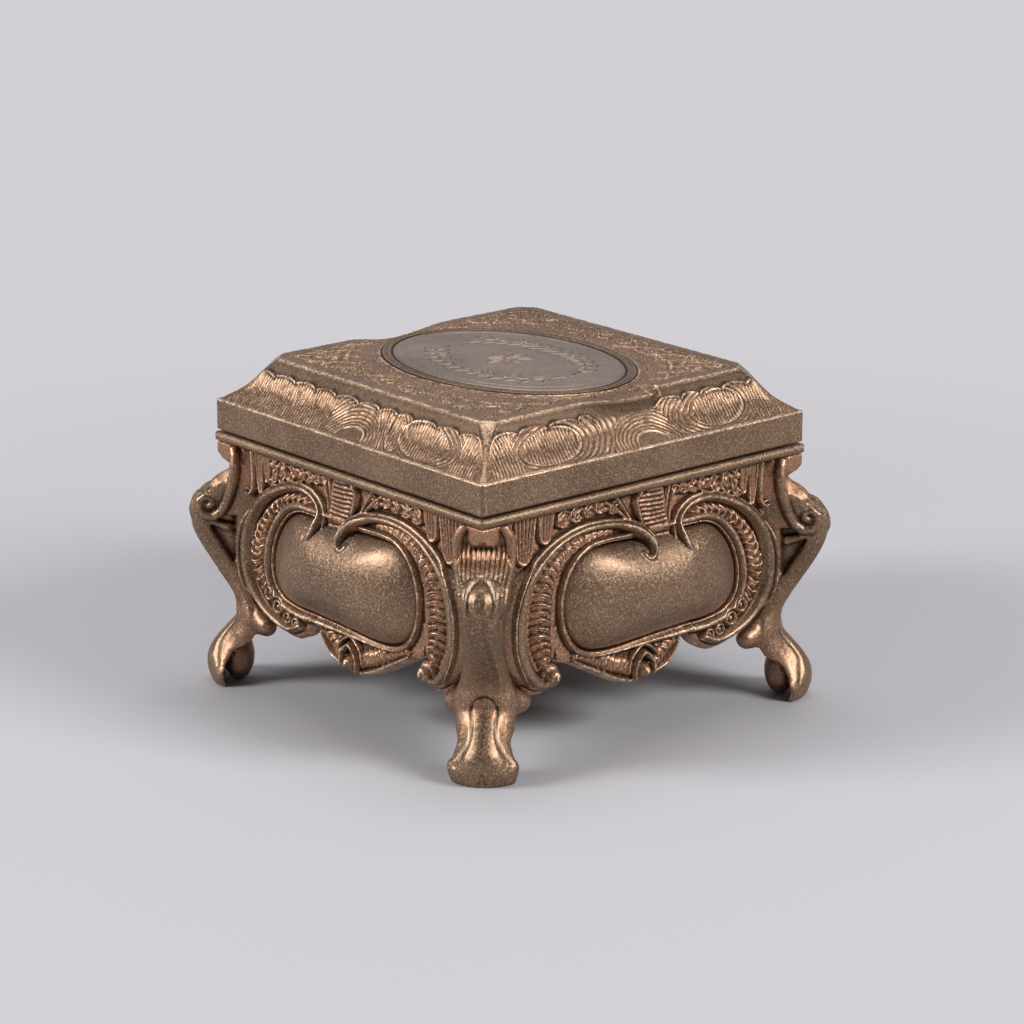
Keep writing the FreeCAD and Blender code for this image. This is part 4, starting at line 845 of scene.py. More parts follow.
def lid_surface():
    """Points, faces and fields of the lid."""
    u = np.linspace(-1, 1, SIDE_COLUMNS, endpoint=False)
    count = SIDE_COLUMNS * 4
    sides = np.repeat(np.arange(4), SIDE_COLUMNS)
    # Across runs from the near corner on the front and left and from the far one behind
    across_share = np.tile(u, 4) * np.array([1, -1, 1, -1])[sides]
    side_out = np.array([(0, -1), (1, 0), (0, 1), (-1, 0)])[sides]
    front = (sides % 2 == 0)
    rows, ground, rub, dark_tone_and_painted_shade = [], [], [], []

    # A row round the lid: its share of copper ground, its wear, and its darkening, which is a darker tone on
    # the fascia and painted shade on the plain band of the slope.
    def add(place, z, shade=0.0, worn=0.0, dark=0.0):
        rows.append(np.column_stack([place, z + np.zeros(count)]))
        for fields, value in ((ground, shade), (rub, worn), (dark_tone_and_painted_shade, dark)):
            fields.append(value + np.zeros(count))

    def dip(across):
        """Sag of the top edge of the front towards a curled step, which is softer on the back."""
        end = np.where(side_out[:, 1] > 0, ease(14.0, 4.0, across), ease(9.6, 7.4, across))
        return front * (1.35 * (ease(-12.0, 3.0, across) * end) - 0.1 * bell(across - 9.3, 0.8))

    for half, z in np.linspace(*LID_INSIDE, 6):
        add(square_loop(half, u), z, 0.3)
    for half, z, worn in LID_FOOT:
        add(square_loop(half, u), z, 0.0, worn)
    for z in np.linspace(SEAT + 1.0, FASCIA_TOP - 0.7, 8):
        add(square_loop(LID_HALF, u), z, dark=0.16)
    for half, z, worn in FASCIA_EDGE:
        add(square_loop(half, u), z, 0.0, worn)
    first_slope = len(rows)
    slope = smooth_path(SLOPE_PATH, 0.21)
    slope_length = lengths(slope)
    end = slope_length[-1]
    tangent = np.gradient(slope, axis=0)
    tangent /= np.linalg.norm(tangent, axis=1)[:, None]
    for (half, z), along, (dm, dz) in zip(slope, slope_length, tangent):
        across = across_share * half
        both = zip(slope_relief(across, along, True), slope_relief(across, along, False))
        tall, worked, bright = [np.where(front, *pair) for pair in both]
        corner = ease(0.0, 1.4, half - np.abs(across) - 1.6)
        out = tall * corner
        # Painted shade: the plain band of the slope, from 5 mm up to just under the top edge, is darkened
        # where it is not worked, as if it lay out of the light.
        plain = ease(5.0, 7.0, along) * ease(end - 0.2, end - 1.0, along)
        worn = (0.16 * worked + 0.45 * bright) * corner + 0.6 * ease(end - 0.5, end - 0.1, along)
        add(square_loop(half, u) + side_out * (out * dz)[:, None],
            z + (-out * dm - dip(across) * ease(6.2, end, along)),
            0.3 * worked, worn + 0.5 * ease(0.3, 0.0, along), 0.5 * plain * (1 - worked))
    # Top, from the edge to the medallion's seat
    edge = rows[-1]
    angle = np.arctan2(edge[:, 1], edge[:, 0])
    seat = [size + BEZEL_WIDTH + 0.1 for size in OVAL]
    reach = 1 / np.hypot(np.cos(angle) / seat[0], np.sin(angle) / seat[1])
    oval = np.column_stack([reach * np.cos(angle), reach * np.sin(angle)])
    for share in np.linspace(0, 1, TOP_ROWS)[1:]:
        at = edge[:, :2] * (1 - share) + oval * share
        gap = TOP_HALF - np.maximum(np.abs(at[:, 0]), np.abs(at[:, 1]))
        tall, shade = top_relief(np.abs(at), gap)
        tall = tall * ease(1.0, 0.9, share)
        sag = dip(across_share * TOP_HALF) * ease(5.5, 0.0, gap) ** 1.6
        add(at, LID_TOP + tall - sag - 0.12 * ease(0.5, 0.0, gap), shade, 0.4 * ease(0.7, 0.2, gap) + 0.12)
    for scale in (1.0, 0.6):
        add(oval * scale, LID_TOP - 0.6)

    points = np.vstack(rows)
    over = lid_corners(points, np.arange(len(points)) >= first_slope * count)
    # Room for the upper leaf of the hinge
    half, start, height = HINGE_ROOM
    leaf = (np.abs(points[:, 0]) < half) & (points[:, 1] > start) & (points[:, 2] < height)
    points[leaf, 2] = height
    faces = tube_faces(len(rows), count)
    stand, _ = convexity(points, faces[0], 8)
    stand[:(first_slope - 1) * count] = 0.0
    z, sized = points[:, 2], np.abs(points[:, :2])
    facet = ease(0.2, 0.8, over) * ease(FASCIA_TOP, FASCIA_TOP + 0.5, z)
    broken = np.clip(0.8 + 0.5 * noise(points, 0.8, 3) + 0.25 * noise(points, 3.0, 4), 0, 1.4)
    upright = bell(np.abs(sized[:, 0] - sized[:, 1]) - 1.0, 0.6) * (z > SEAT + 0.3)
    upright = upright * (z < FASCIA_TOP) * (np.max(sized, axis=1) > LID_HALF - 0.6)
    wear = unit(stand / 0.14) + np.concatenate(rub) + 0.45 * upright
    wear = wear * broken * (1 - 0.5 * facet) + 0.62 * facet
    # The hollow field takes the dark patina of hollows, the fascia's darker tone and the painted shade of the
    # slope's plain band.
    hollow = (unit(-stand / 0.2) + np.concatenate(dark_tone_and_painted_shade)) * (1 - facet)
    return points, faces, {"wear": unit(wear), "hollow": unit(hollow), "ground": np.concatenate(ground)}


points, faces, fields = lid_surface()
cast("lid_cast", points, reversed_faces(faces), fields, "lid", "lid_shell")

# Legs: distances in a leg's own frame, out along the diagonal, across and up
LEG_STEP = 0.23
LEG_LOW, LEG_HIGH = (43.0, -11.0, -0.5), (67.0, 11.0, 52.0)
# Crest of the tongue and foot: out, up, half width, thickness, drop of the edges
CREST = [
    (56.8, 41.4, 3.0, 2.0, 0.5), (59.3, 41.7, 3.6, 2.2, 0.7), (61.7, 41.1, 3.9, 2.6, 0.9),
    (63.7, 39.4, 4.0, 3.0, 1.0), (64.7, 36.9, 3.9, 3.2, 1.1), (64.6, 34.2, 3.7, 3.3, 1.0),
    (63.5, 31.1, 3.6, 3.4, 0.9), (61.2, 27.2, 3.6, 3.4, 0.9), (58.0, 22.2, 3.9, 3.3, 1.0),
    (56.0, 18.7, 4.7, 3.3, 1.3), (55.4, 16.4, 5.5, 3.3, 1.9), (56.1, 14.0, 5.8, 3.4, 2.8),
    (58.0, 11.7, 5.6, 3.4, 3.6), (60.3, 9.0, 6.1, 3.3, 4.3), (61.9, 6.0, 7.0, 3.2, 4.6),
    (62.1, 3.2, 7.6, 3.2, 4.2), (61.4, 0.9, 7.5, 3.0, 3.4), (60.4, -1.0, 7.0, 2.8, 2.8)]
# Out and up: eye of the knee's scroll and middle of the lobe behind the foot
KNEE_EYE = (60.3, 38.2)
FOOT_BACK = (55.6, 5.2)
# Square post in the corner: middle along the diagonal and half its diagonal
POST_MIDDLE, POST_HALF = 53.46, 2.26
# Lobes beside the niche, curling under into the scrolls of the knee: out, across, up, radius
LOBE = [
    (55.4, 3.5, 50.7, 0.9), (55.0, 4.6, 49.0, 1.05), (54.9, 5.1, 47.2, 1.1), (55.1, 5.1, 45.2, 1.1),
    (55.5, 4.9, 43.2, 1.1), (56.1, 4.6, 41.2, 1.05), (56.9, 4.2, 39.0, 1.0), (58.0, 3.9, 37.0, 1.0),
    (59.6, 3.7, 35.7, 0.95), (61.4, 3.6, 36.0, 0.9), (62.6, 3.6, 37.4, 0.85), (62.6, 3.7, 39.0, 0.8),
    (61.4, 3.8, 40.0, 0.75), (60.1, 3.8, 39.6, 0.65), (59.8, 3.9, 38.5, 0.6), (60.4, 3.9, 38.0, 0.6)]
# Up the niche under the rim: its half width, how far out its floor lies, and its cap under the corner
NICHE_HALF = [
    (36.0, 3.6), (39.0, 4.0), (41.2, 4.5), (43.2, 4.9), (45.2, 5.1), (47.2, 5.1), (49.0, 4.6),
    (RIM_BASE, 3.5)]
NICHE_FLOOR = [
    (36.0, 61.8), (40.0, 61.2), (42.0, 60.4), (42.9, 59.3), (43.5, 58.1), (44.2, 57.1), (45.2, 56.3),
    (46.5, 55.8), (RIM_BASE, 55.8)]
NICHE_CAP = [(46.2, 0.0), (46.8, 0.9), (47.5, 2.4), (48.6, 3.3), (49.6, 3.6), (RIM_BASE, 3.6)]
# Engraved lines on the front of the foot, across and up
FOOT_LINES = [
    [(-5.4, 3.9), (-3.8, 6.4), (-2.5, 9.2), (-2.3, 11.8), (-2.5, 14.0), (-1.7, 15.8), (0.0, 16.5),
     (1.7, 15.8), (2.5, 14.0), (2.3, 11.8), (2.7, 9.2), (4.1, 6.4), (5.7, 4.5)],
    [(-0.7, 0.8), (0.0, 3.0)], [(0.7, 0.8), (0.0, 3.0)]]


def rod(grid, start, end, radii):
    """Distance to a rounded rod with a radius at each end."""
    line = np.array(end) - np.array(start)
    away = [g - s for g, s in zip(grid, start)]
    t = unit(sum(a * k for a, k in zip(away, line)) / (line @ line))
    gap = np.sqrt(sum((a - t * k) ** 2 for a, k in zip(away, line)))
    return gap - (radii[0] + (radii[1] - radii[0]) * t)


def leg_field(out, across, up):
    """Distance to the leg's skin over a grid, below zero inside."""
    r, w, z = out[:, None, None], np.abs(across)[None, :, None], up[None, None, :]
    signed = across[None, :, None]
    grid = (r, w, z)
    near = Near(CREST, np.column_stack([np.repeat(out, len(up)), np.tile(up, len(out))]), 90)
    n, along, beyond, half, thick, drop = [
        c.reshape(len(out), 1, len(up)) for c in (near.side, near.along, near.beyond, *near.columns)]

    # Tongue and foot, with the hood and the oval at the front of the knee
    x = np.minimum(w / half, 1.25)
    oval = np.hypot(w / 1.7, (along - 9.3) / 3.3)
    rise = 0.45 * ease(1.15, 0.6, oval) + 0.6 * bell(oval - 1.85, 0.24) * ease(13.0, 9.0, along)
    rise = rise - 0.4 * bell(oval - 1.4, 0.2) * ease(15.0, 10.0, along)
    fold = signed - (1.2 + 2.1 * ease(9.0, 34.0, along))
    length = ease(9.0, 13.0, along) * ease(37.0, 31.0, along)
    rise = rise + length * (0.34 * bell(fold, 0.4) - 0.25 * ease(0.0, 0.8, fold))
    foot = ease(36.0, 41.0, along)
    rise = rise + foot * (0.12 * bell(x - 0.92, 0.13) - 0.3 * bell(x - 0.66, 0.16) * ease(52.0, 47.0, along))
    outer = n + drop * x * x - rise
    inner = -(n + drop * x ** 3 + thick * (1 - 0.45 * foot * x * x))
    field = soft_max(soft_max(outer, inner, 1.0), w - half, 1.3 + 1.2 * foot)
    field = soft_max(field, np.abs(beyond) - 0.4, 0.6)

    # Back of the foot
    lobe = np.sqrt(((r - FOOT_BACK[0]) / 3.2) ** 2 + (w / 4.0) ** 2 + ((z - FOOT_BACK[1]) / 5.2) ** 2)
    field = soft_min(field, (lobe - 1) * 3.8, 0.9)

    # Web behind the tongue, the column between the panels and the post in the corner
    web = soft_max(w - 2.3, soft_max(n + 1.0, 52.0 - r, 0.5), 0.8)
    web = np.maximum(web, np.maximum(z - 43.0, 16.5 - z))
    field = soft_min(field, web, 1.2)
    column = soft_max(w - 3.5, r - 55.4, 1.2)
    column = np.maximum(np.maximum(column, 51.5 - r), np.maximum(z - 46.0, 15.0 - z))
    field = soft_min(field, column, 0.9)
    post = (np.abs(r - POST_MIDDLE) + w - POST_HALF) / math.sqrt(2)
    field = np.minimum(field, np.maximum(post, np.maximum(z - RIM_BASE, 14.0 - z)))

    # Sides of the knee
    far = np.hypot(r - KNEE_EYE[0], z - KNEE_EYE[1])
    disc = soft_max(w - 3.5, far - 3.1, 0.8)
    field = soft_min(field, np.maximum(disc, 2.0 - w), 0.5)
    field = soft_min(field, rod(grid, (60.6, 3.0, 34.6), (56.6, 3.1, 33.4), (0.5, 0.9)), 0.6)

    # Fluted niche under the corner of the rim, between two lobes that curl into the knee
    reach = np.interp(up, *np.transpose(NICHE_HALF))[None, None, :]
    flutes = 0.4 * rib(w / reach * 5.5, 1.0) * ease(50.0, 48.4, z) * ease(40.0, 41.2, z)
    neck = np.interp(z - flutes, *np.transpose(NICHE_FLOOR))
    cove = neck + np.interp(z, *np.transpose(NICHE_CAP)) * np.exp(-(w / 2.7) ** 6)
    niche = soft_max(r - cove + 0.05 * w * w - 0.7 * flutes, w - reach, 0.5)
    niche = soft_max(niche, 0.7 * (r + w - 59.3) - 9.0 * (z < 47.0), 0.3)
    back = np.maximum(np.maximum(55.2 - r - w, 44.5 - r + w), np.maximum(z - RIM_BASE, 36.0 - z))
    field = soft_min(field, np.maximum(niche, back), 0.35)
    lobes = np.min([rod(grid, p[:3], q[:3], (p[3], q[3])) for p, q in zip(LOBE, LOBE[1:])], axis=0)
    field = soft_min(field, lobes, 0.35)

    # Rolls from the ankle to the foot of each panel
    ear = rod(grid, (52.6, 3.2, 15.6), (48.7, 6.4, 13.5), (1.7, 2.0))
    field = soft_min(field, ear + 0.3 * bell(r - 51.6, 0.5), 2.0)
    return np.maximum(np.maximum(field, 0.02 - z), z - RIM_BASE + 0.02)


def skin(field, low, step):
    """Points and quads of the skin where a field over a grid passes zero."""
    cells = np.array(field.shape) - 1
    total = np.zeros((*cells, 3))
    count = np.zeros(cells)
    for axis in range(3):
        b, c = (axis + 1) % 3, (axis + 2) % 3
        for shift in ((0, 0), (0, 1), (1, 0), (1, 1)):
            start = np.zeros(3, int)
            start[b], start[c] = shift
            end = start.copy()
            end[axis] = 1
            one, two = [field[tuple(slice(s, s + k) for s, k in zip(at, cells))] for at in (start, end)]
            cross = (one < 0) != (two < 0)
            count += cross
            total[..., axis] += np.where(cross, one / np.where(cross, one - two, 1.0), 0.0)
            total[..., b] += cross * shift[0]
            total[..., c] += cross * shift[1]
    used = count > 0
    number = np.full(cells, -1)
    number[used] = np.arange(used.sum())
    points = low + step * (np.argwhere(used) + total[used] / count[used][:, None])
    quads = []
    for axis in range(3):
        b, c = (axis + 1) % 3, (axis + 2) % 3
        middle = [slice(1, k) for k in cells]
        middle[axis] = slice(0, cells[axis])
        ahead = list(middle)
        ahead[axis] = slice(1, cells[axis] + 1)
        one, two = field[tuple(middle)] < 0, field[tuple(ahead)] < 0
        around = []
        for shift in ((-1, -1), (0, -1), (0, 0), (-1, 0)):
            at = list(middle)
            at[b] = slice(1 + shift[0], cells[b] + shift[0])
            at[c] = slice(1 + shift[1], cells[c] + shift[1])
            around.append(number[tuple(at)])
        around = np.stack(around, -1)
        quads += [around[one & ~two], around[two & ~one][:, ::-1]]
    return points, np.vstack(quads)


def leg_surface():
    """Points, quads and fields of the leg at the right of the front."""
    out, across, up = [np.arange(a, b, LEG_STEP) for a, b in zip(LEG_LOW, LEG_HIGH)]
    points, quads = skin(leg_field(out, across, up), np.array(LEG_LOW), LEG_STEP)
    for _ in range(2):
        stand, normal = convexity(points, quads, 1)
        points = points - 0.5 * stand[:, None] * normal
    facing = normal[:, 0] > 0.1
    depth = np.zeros(len(points))
    for rows in FOOT_LINES:
        near = Near(rows, points[:, 1:], 1.5)
        gap = near.gap * facing[near.which] + 9.0 * ~facing[near.which]
        depth[near.which] = np.maximum(depth[near.which], bell(gap, 0.4) - 0.5 * bell(gap - 0.9, 0.35))
    grain = 0.035 * noise(points, 0.8, 21) + 0.05 * noise(points, 2.6, 22)
    points = points + (grain - 0.17 * depth)[:, None] * normal
    stand, _ = convexity(points, quads, 9)
    deep, _ = convexity(points, quads, 60)
    points[:, 2] = np.maximum(points[:, 2], 0.0)
    x, y, z = points.T
    niche = ease(42.0, 43.6, z) * ease(6.2, 5.4, np.abs(y))
    side = ease(59.0, 56.5, x) * ease(40.0, 36.0, z)
    ankle = bell(z - 16.8, 2.4)
    broken = np.clip(0.8 + 0.5 * noise(points, 0.8, 23) + 0.3 * noise(points, 3.0, 24), 0, 1.4)
    # Painted shade: the shin under the knee, from about 15 to 37 mm up, is darkened as a whole.
    shin_painted_shade = ease(37.0, 31.0, z) * ease(15.0, 20.0, z)
    hollow = np.maximum(-stand / 0.22, 0) + 0.6 * ease(0.15, 1.2, -deep) + 0.15 * depth + 0.16 * shin_painted_shade + 0.06
    ground = np.maximum(niche, 0.45 * np.maximum(side, ankle))
    wear = 0.8 * unit(stand / 0.26) * broken
    return points, quads, {"wear": wear, "hollow": unit(hollow), "ground": unit(ground)}


points, quads, fields = leg_surface()
leg_points = turned(points, -45)
for turn, name in enumerate(("leg_front_right", "leg_back_right", "leg_back_left", "leg_front_left")):
    cast(name + "_cast", turned(leg_points, 90 * turn), [quads], fields, "casket_body", name)

# Medallion: a smooth oval field with a generic wreath in low relief, and its beaded ring
FIELD_COLUMNS, FIELD_ROWS = 560, 150
FIELD_LEVEL, FIELD_CROWN = 0.28, 0.14
WREATH_STEM = [(0.8, -18.5), (6.6, -16.0), (10.6, -9.0), (11.8, 0.0), (10.2, 9.0), (6.0, 15.5)]
RING_COLUMNS, RING_BEADS = 1400, 174
SUNK_BELOW_TOP = -0.55
# Section of the ring: outwards, up, share of the beads
RING_PROFILE = [
    (0.0, SUNK_BELOW_TOP, 0), (0.0, 0.1, 0), (0.12, 0.34, 0), (0.3, 0.44, 0), (0.48, 0.34, 0),
    (0.6, 0.14, 0), (0.72, 0.14, 0.2), (0.9, 0.16, 0.6), (1.1, 0.18, 0.95), (1.3, 0.18, 1),
    (1.5, 0.18, 0.9), (1.68, 0.15, 0.5), (1.8, 0.12, 0.15), (1.92, 0.12, 0), (2.05, 0.28, 0),
    (2.2, 0.36, 0), (2.34, 0.26, 0), (2.42, 0.06, 0), (2.42, SUNK_BELOW_TOP, 0)]
RING_FLATTENED = 0.45


def circle(count):
    angle = np.linspace(0, 2 * math.pi, count, endpoint=False)
    return np.column_stack([np.cos(angle), np.sin(angle)])


def wreath(relief):
    """Two leafy branches round a rosette of eight leaves."""
    for side in (-1, 1):
        stem = smooth_path([(side * x, y) for x, y in WREATH_STEM], 0.5)
        relief.line(stem[::4], half=0.4, height=0.3, ground=0.0, soft=0.1)
        for k in range(7, len(stem) - 2, 6):
            ahead = stem[k + 1] - stem[k - 1]
            ahead /= np.hypot(*ahead)
            for lean in (-0.75, 0.75):
                c, s = math.cos(lean), math.sin(lean)
                way = np.array([ahead[0] * c - ahead[1] * s, ahead[0] * s + ahead[1] * c])
                length = 4.3 if lean * side > 0 else 3.6
                relief.leaf(stem[k], stem[k] + way * length, half=0.95, height=0.32)
    for k in range(8):
        way = np.array([math.cos(k * math.pi / 4), math.sin(k * math.pi / 4)])
        relief.leaf(way * 1.1, way * 5.0, half=1.15, height=0.34)
    relief.volute((0.0, 0.0), radius=1.3, level=0.1, height=0.3, turns=1.0, depth=0.1)


def medallion_surface():
    """Points, faces and fields of the oval field."""
    count = FIELD_COLUMNS
    outline = circle(count) * np.array(OVAL)
    shares = np.concatenate([[0.004], np.linspace(0, 1, FIELD_ROWS)[1:] ** 0.8])
    place = (shares[:, None, None] * (0.995 * outline)[None]).reshape(-1, 2)
    relief = Relief(place)
    wreath(relief)
    share = np.repeat(shares, count)
    line = 0.16 * np.exp(-((1 - share) * 24 - 2.2) ** 2 / 0.12)
    crown = FIELD_CROWN * (1 - share ** 2) - 0.2 * ease(0.975, 1.0, share)
    rows = [np.column_stack([place, LID_TOP + FIELD_LEVEL + crown + 0.85 * relief.height - line])]
    for z in (0.1, SUNK_BELOW_TOP):
        rows.append(np.column_stack([outline, np.full(count, LID_TOP + z)]))
    points = np.vstack(rows)
    faces = tube_faces(len(shares) + 2, count)
    stand, _ = convexity(points, faces[0], 6)
    lift = np.concatenate([ease(0.08, 0.26, relief.height), np.zeros(2 * count)])
    wear = unit(0.6 * lift * (0.7 + 0.5 * noise(points, 0.9, 31)) + stand / 0.4)
    return points, faces, {"wear": wear, "hollow": unit(-stand / 0.12), "ground": np.zeros(len(points))}


def ring_surface():
    """Points, faces and fields of the low ring round the medallion: a beaded band between two lines."""
    count = RING_COLUMNS
    line = circle(count) * (np.array(OVAL) + 0.05)
    outward = circle(count) / np.array(OVAL)
    outward /= np.linalg.norm(outward, axis=1)[:, None]
    length = lengths(np.vstack([line, line[:1]]))
    turn = length[:-1] / length[-1] * RING_BEADS
    rows = []
    for wide, z, bead in RING_PROFILE:
        tall = z + 0.34 * bead * np.abs(np.sin(math.pi * (turn + 0.35 * wide))) ** 0.7
        height = RING_FLATTENED * tall if tall.min() > 0 else tall
        rows.append(np.column_stack([line + outward * wide, LID_TOP + height]))
    points = np.vstack(rows)
    quads = grid_quads(len(rows), count, closed=True)
    first, last = np.arange(count), np.arange(count) + (len(rows) - 1) * count
    under = np.column_stack([last, np.roll(last, -1), np.roll(first, -1), first])
    stand, _ = convexity(points, np.vstack([quads, under]), 5)
    wear = unit(stand / 0.12) * (0.75 + 0.35 * noise(points, 1.6, 33))
    fields = {"wear": wear, "hollow": unit(-stand / 0.1), "ground": np.zeros(len(points))}
    return points, [quads, under], fields


points, faces, fields = medallion_surface()
piece("medallion_field", points, faces, fields, "lid", "medallion_plate", medal_metal)
points, faces, fields = ring_surface()
cast("medallion_ring", points, reversed_faces(faces), fields, "lid", "medallion_bezel")


# Fittings and inside: hinge, screws, plates, covered boards and stuffed pads
def velvet_material():
    s = Shader("velvet")
    pile = s.noise(5200.0, 2.0, 0.6)
    nap = s.noise(140.0, 3.0, 0.6)
    crush = s.noise(38.0, 2.0, 0.5)
    base = s.mix(s.span(nap, 0.3, 0.7), (0.105, 0.010, 0.018), (0.175, 0.020, 0.032))
    base = s.mix(s.span(crush, 0.5, 0.72, 0.0, 0.5), base, (0.225, 0.036, 0.048))
    s.set(Base_Color=base, Roughness=s.span(nap, 0.3, 0.7, 0.82, 0.95), Sheen_Weight=0.7, Sheen_Roughness=0.4,
          Sheen_Tint=(0.75, 0.22, 0.26), Normal=s.bump(nap, 0.25, 0.0004, s.bump(pile, 0.6, 0.0001)))
    return s.material


def plain_metal(name, low, high, rough, scale):
    """Worked metal with fine uneven tarnish."""
    s = Shader(name)
    tarnish = s.noise(scale, 4.0, 0.65)
    fine = s.noise(3200.0, 2.0, 0.6)
    base = s.mix(s.span(tarnish, 0.35, 0.68), low, high)
    base = s.mix(s.span(fine, 0.55, 0.7, 0.0, 0.35), base, [c * 0.5 for c in low])
    s.set(Base_Color=base, Metallic=0.92, Roughness=s.span(tarnish, 0.3, 0.7, rough, rough + 0.16),
          Normal=s.bump(fine, 0.25, 0.00005))
    return s.material


def card_material():
    s = Shader("card")
    fibre = s.noise(900.0, 4.0, 0.7, 1.5)
    base = s.mix(s.span(fibre, 0.3, 0.7), (0.33, 0.26, 0.195), (0.47, 0.385, 0.30))
    s.set(Base_Color=base, Roughness=s.span(fibre, 0.3, 0.7, 0.85, 0.95), Normal=s.bump(fibre, 0.3, 0.0001))
    return s.material


velvet = velvet_material()
dress(("hinge_lower_leaf", "hinge_upper_leaf", "hinge_pin"),
      plain_metal("hinge_brass", (0.30, 0.20, 0.095), (0.50, 0.37, 0.19), rough=0.32, scale=260.0))
dress(("rim_screws", "floor_screws", "hinge_lower_screws", "hinge_upper_screws"),
      plain_metal("screw_steel", (0.30, 0.285, 0.27), (0.46, 0.44, 0.42), rough=0.30, scale=500.0))
dress(("floor_plate",),
      plain_metal("sheet_metal", (0.15, 0.105, 0.07), (0.26, 0.19, 0.13), rough=0.42, scale=120.0))
dress(("floor_board", "lid_board"), card_material())


def soft_box(low, high, round_off, step, puff):
    """Points and quads of a rounded board or pad, swelling by a puff in the middle of its larger faces."""
    low, high = np.array(low) / MM, np.array(high) / MM
    middle, half = (low + high) / 2, (high - low) / 2
    thin = int(np.argmin(half))
    counts = np.maximum((2 * half / step).astype(int), 3) + 1
    points, quads = [], []
    start = 0
    for axis in range(3):
        b, c = (axis + 1) % 3, (axis + 2) % 3
        for end in (-1, 1):
            u, v = np.meshgrid(np.linspace(-1, 1, counts[b]), np.linspace(-1, 1, counts[c]))
            p = np.zeros((u.size, 3))
            p[:, axis], p[:, b], p[:, c] = end, u.ravel(), v.ravel()
            q = grid_quads(counts[c], counts[b]) + start
            quads.append(q if end > 0 else q[:, ::-1])
            points.append(p)
            start += len(p)
    p = np.vstack(points) * half
    core = np.clip(p, -half + round_off, half - round_off)
    away = p - core
    length = np.maximum(np.linalg.norm(away, axis=1), 1e-9)
    p = core + away / length[:, None] * np.minimum(length, round_off)[:, None]
    others = [k for k in range(3) if k != thin]
    crown = np.prod([np.cos(np.clip(p[:, k] / half[k], -1, 1) * math.pi / 2) ** 0.4 for k in others], axis=0)
    p[:, thin] += np.sign(p[:, thin]) * (puff * (crown - 1)) * (np.abs(p[:, thin]) > half[thin] * 0.5)
    return p + middle, np.vstack(quads)


def covered(name, node, body, points, quads):
    """Velvet piece whose faces are joined along their shared edges."""
    made = piece(name, points, [quads], {}, body, node, velvet)
    work = bmesh.new()
    work.from_mesh(made.data)
    bmesh.ops.remove_doubles(work, verts=work.verts, dist=0.00001)
    work.to_mesh(made.data)
    work.free()
    return made


for side in ("front", "back", "left", "right"):
    node = "lining_" + side
    points, quads = soft_box(*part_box(node), round_off=0.4, step=0.9, puff=0.12)
    covered(node + "_cover", node, "casket_body", points, quads)


def places(mesh):
    flat = np.zeros(len(mesh.vertices) * 3, np.float32)
    mesh.vertices.foreach_get("co", flat)
    return flat


def evaluated_mesh(made):
    return bpy.data.meshes.new_from_object(made.evaluated_get(bpy.context.evaluated_depsgraph_get()))


# The pads are blown up as cloth at ten times their size, which suits the solver
CLOTH_SCALE = 10.0
CLOTH_VOXEL = 0.0125
CLOTH_STEPS = 20
PAD_CLEARANCE = 0.05


def stuffed(name, node, body, inset, puff, cap):
    """Pad blown up as cloth from a slightly smaller rounded board, and kept within its own space."""
    low, high = [np.array(corner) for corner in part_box(node)]
    points, quads = soft_box(low + inset * MM, high - inset * MM, round_off=1.2, step=1.4, puff=puff)
    pad = covered(name, node, body, points, quads)
    trial_mesh = pad.data.copy()
    trial_mesh.vertices.foreach_set("co", places(pad.data) * CLOTH_SCALE)
    trial = linked("trial", trial_mesh)
    remesh = trial.modifiers.new("remesh", "REMESH")
    remesh.mode = "VOXEL"
    remesh.voxel_size = CLOTH_VOXEL
    bpy.context.view_layer.update()
    fine = evaluated_mesh(trial)
    trial.modifiers.clear()
    trial.data = fine
    before = places(fine)
    settings = trial.modifiers.new("cloth", "CLOTH").settings
    settings.use_pressure = True
    settings.uniform_pressure_force = 4.0
    settings.effector_weights.gravity = 0.0
    settings.tension_stiffness = 12.0
    settings.compression_stiffness = 8.0
    settings.bending_stiffness = 0.6
    for step in range(1, CLOTH_STEPS + 1):
        scene.frame_set(step)
    blown = evaluated_mesh(trial)
    move = (places(blown) - before).reshape(-1, 3) / CLOTH_SCALE
    scene.frame_set(1)
    length = np.maximum(np.linalg.norm(move, axis=1), 1e-9)
    move *= np.minimum(1.0, cap * MM / length)[:, None]
    room = PAD_CLEARANCE * MM
    swollen = np.clip(before.reshape(-1, 3) / CLOTH_SCALE + move, low + room, high - room)
    blown.vertices.foreach_set("co", swollen.astype(np.float32).ravel())
    blown.polygons.foreach_set("use_smooth", np.ones(len(blown.polygons), bool))
    blown.materials.clear()
    blown.materials.append(velvet)
    bpy.data.objects.remove(trial)
    pad.data = blown
    pad.data.update()
    pad.modifiers.new("finer", "SUBSURF").render_levels = 1


stuffed("floor_pad_cover", "floor_pad", "casket_body", inset=0.5, puff=1.2, cap=1.6)
stuffed("lid_pad_cover", "lid_pad", "lid", inset=0.8, puff=2.0, cap=2.4)

# Camera of the photograph
AZIMUTH, ELEVATION = math.radians(-40.29), math.radians(16.28)
CAMERA_DISTANCE = 0.8128
CAMERA_AIM = (0, 0, 0.0395)


def look_along(made, way):
    """Turns a camera or lamp to look along a direction."""
    made.rotation_mode = "QUATERNION"
    made.rotation_quaternion = way.to_track_quat("-Z", "Y")


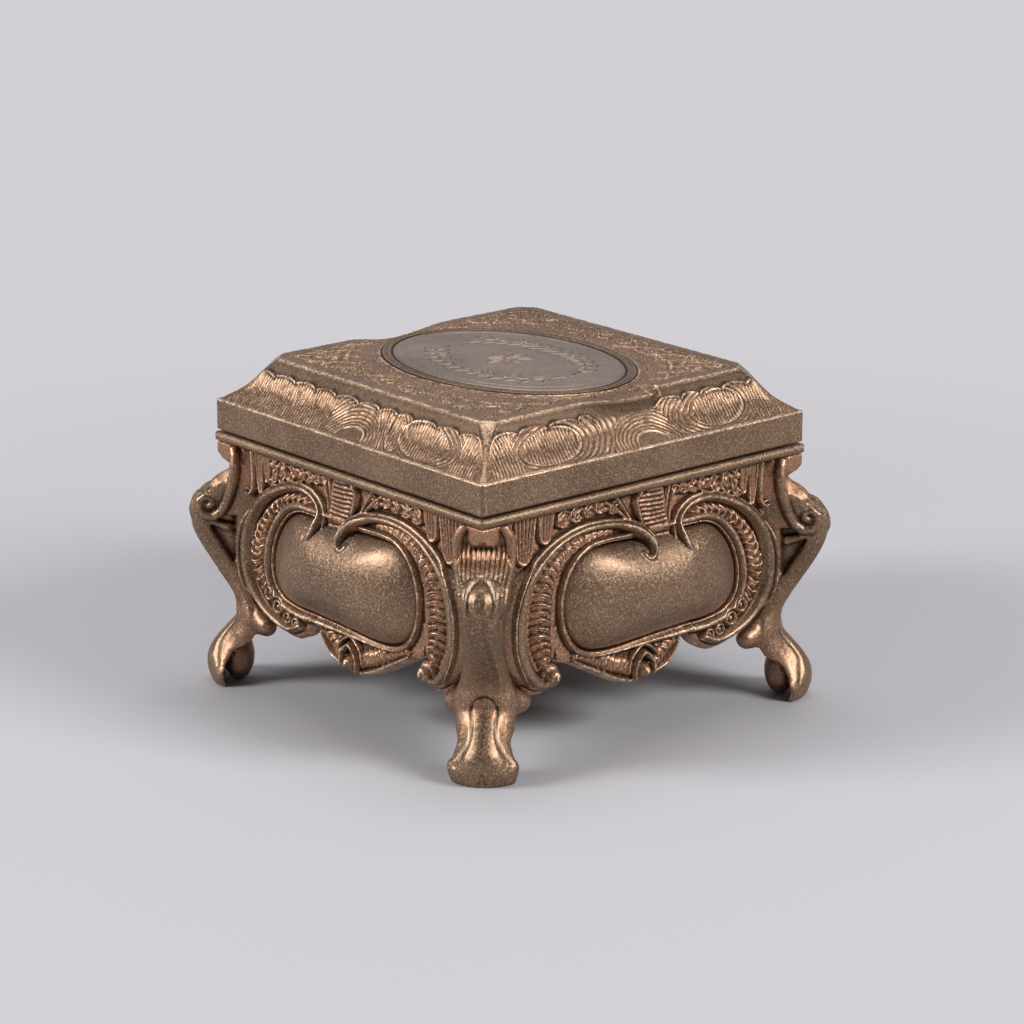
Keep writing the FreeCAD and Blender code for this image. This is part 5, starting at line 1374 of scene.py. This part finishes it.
back = Vector((math.sin(AZIMUTH) * math.cos(ELEVATION), -math.cos(AZIMUTH) * math.cos(ELEVATION),
               math.sin(ELEVATION)))
camera_data = bpy.data.cameras.new("camera")
camera_data.lens = 141.1
camera_data.sensor_width = 36.0
camera_data.shift_x = 0.0038
camera_data.shift_y = -0.0114
camera_data.clip_start = 0.01
camera_data.clip_end = 20.0
camera = linked("camera", camera_data)
camera.location = Vector(CAMERA_AIM) + back * CAMERA_DISTANCE
look_along(camera, -back)
scene.camera = camera


# Lamps, floor and surroundings
def softbox(name, place, aim, size, power):
    data = bpy.data.lights.new(name, "AREA")
    data.shape = "RECTANGLE"
    data.size = data.size_y = size
    data.energy = power
    light = linked(name, data)
    light.location = place
    look_along(light, Vector(aim) - Vector(place))


softbox("right softbox", (0.34, -0.95, 0.64), (0, 0, 0.03), size=0.40, power=12.8)
softbox("left softbox", (-0.95, 0.46, 0.58), (0, 0, 0.03), size=0.40, power=12.8)
softbox("top softbox", (0.15, 0.15, 1.0), (0, 0, 0.05), size=0.6, power=4.0)

floor_mesh = bpy.data.meshes.new("floor")
floor_mesh.from_pydata([(-6, -6, 0), (6, -6, 0), (6, 6, 0), (-6, 6, 0)], [], [(0, 1, 2, 3)])
floor = linked("floor", floor_mesh)
floor_shader = Shader("floor")
floor_shader.set(Base_Color=(0.43, 0.422, 0.445), Roughness=0.7)
floor_shader.glow((0.645, 0.632, 0.666), near=0.10, far=0.32)
floor_mesh.materials.append(floor_shader.material)

# The surroundings are brighter behind the casket
world = bpy.data.worlds.new("world")
scene.world = world
world.use_nodes = True
tree = world.node_tree
background = tree.nodes["Background"].inputs
background["Color"].default_value = (0.60, 0.59, 0.63, 1)
toward = tree.nodes.new("ShaderNodeVectorMath")
toward.operation = "DOT_PRODUCT"
toward.inputs[1].default_value = (0.62, 0.73, 0.28)
tree.links.new(tree.nodes.new("ShaderNodeTexCoord").outputs["Generated"], toward.inputs[0])
strength = tree.nodes.new("ShaderNodeMapRange")
for socket, value in (("From Min", 0.0), ("From Max", 0.95), ("To Min", 0.24), ("To Max", 0.68)):
    strength.inputs[socket].default_value = value
tree.links.new(toward.outputs["Value"], strength.inputs["Value"])
tree.links.new(strength.outputs["Result"], background["Strength"])

scene.view_settings.view_transform = "Standard"
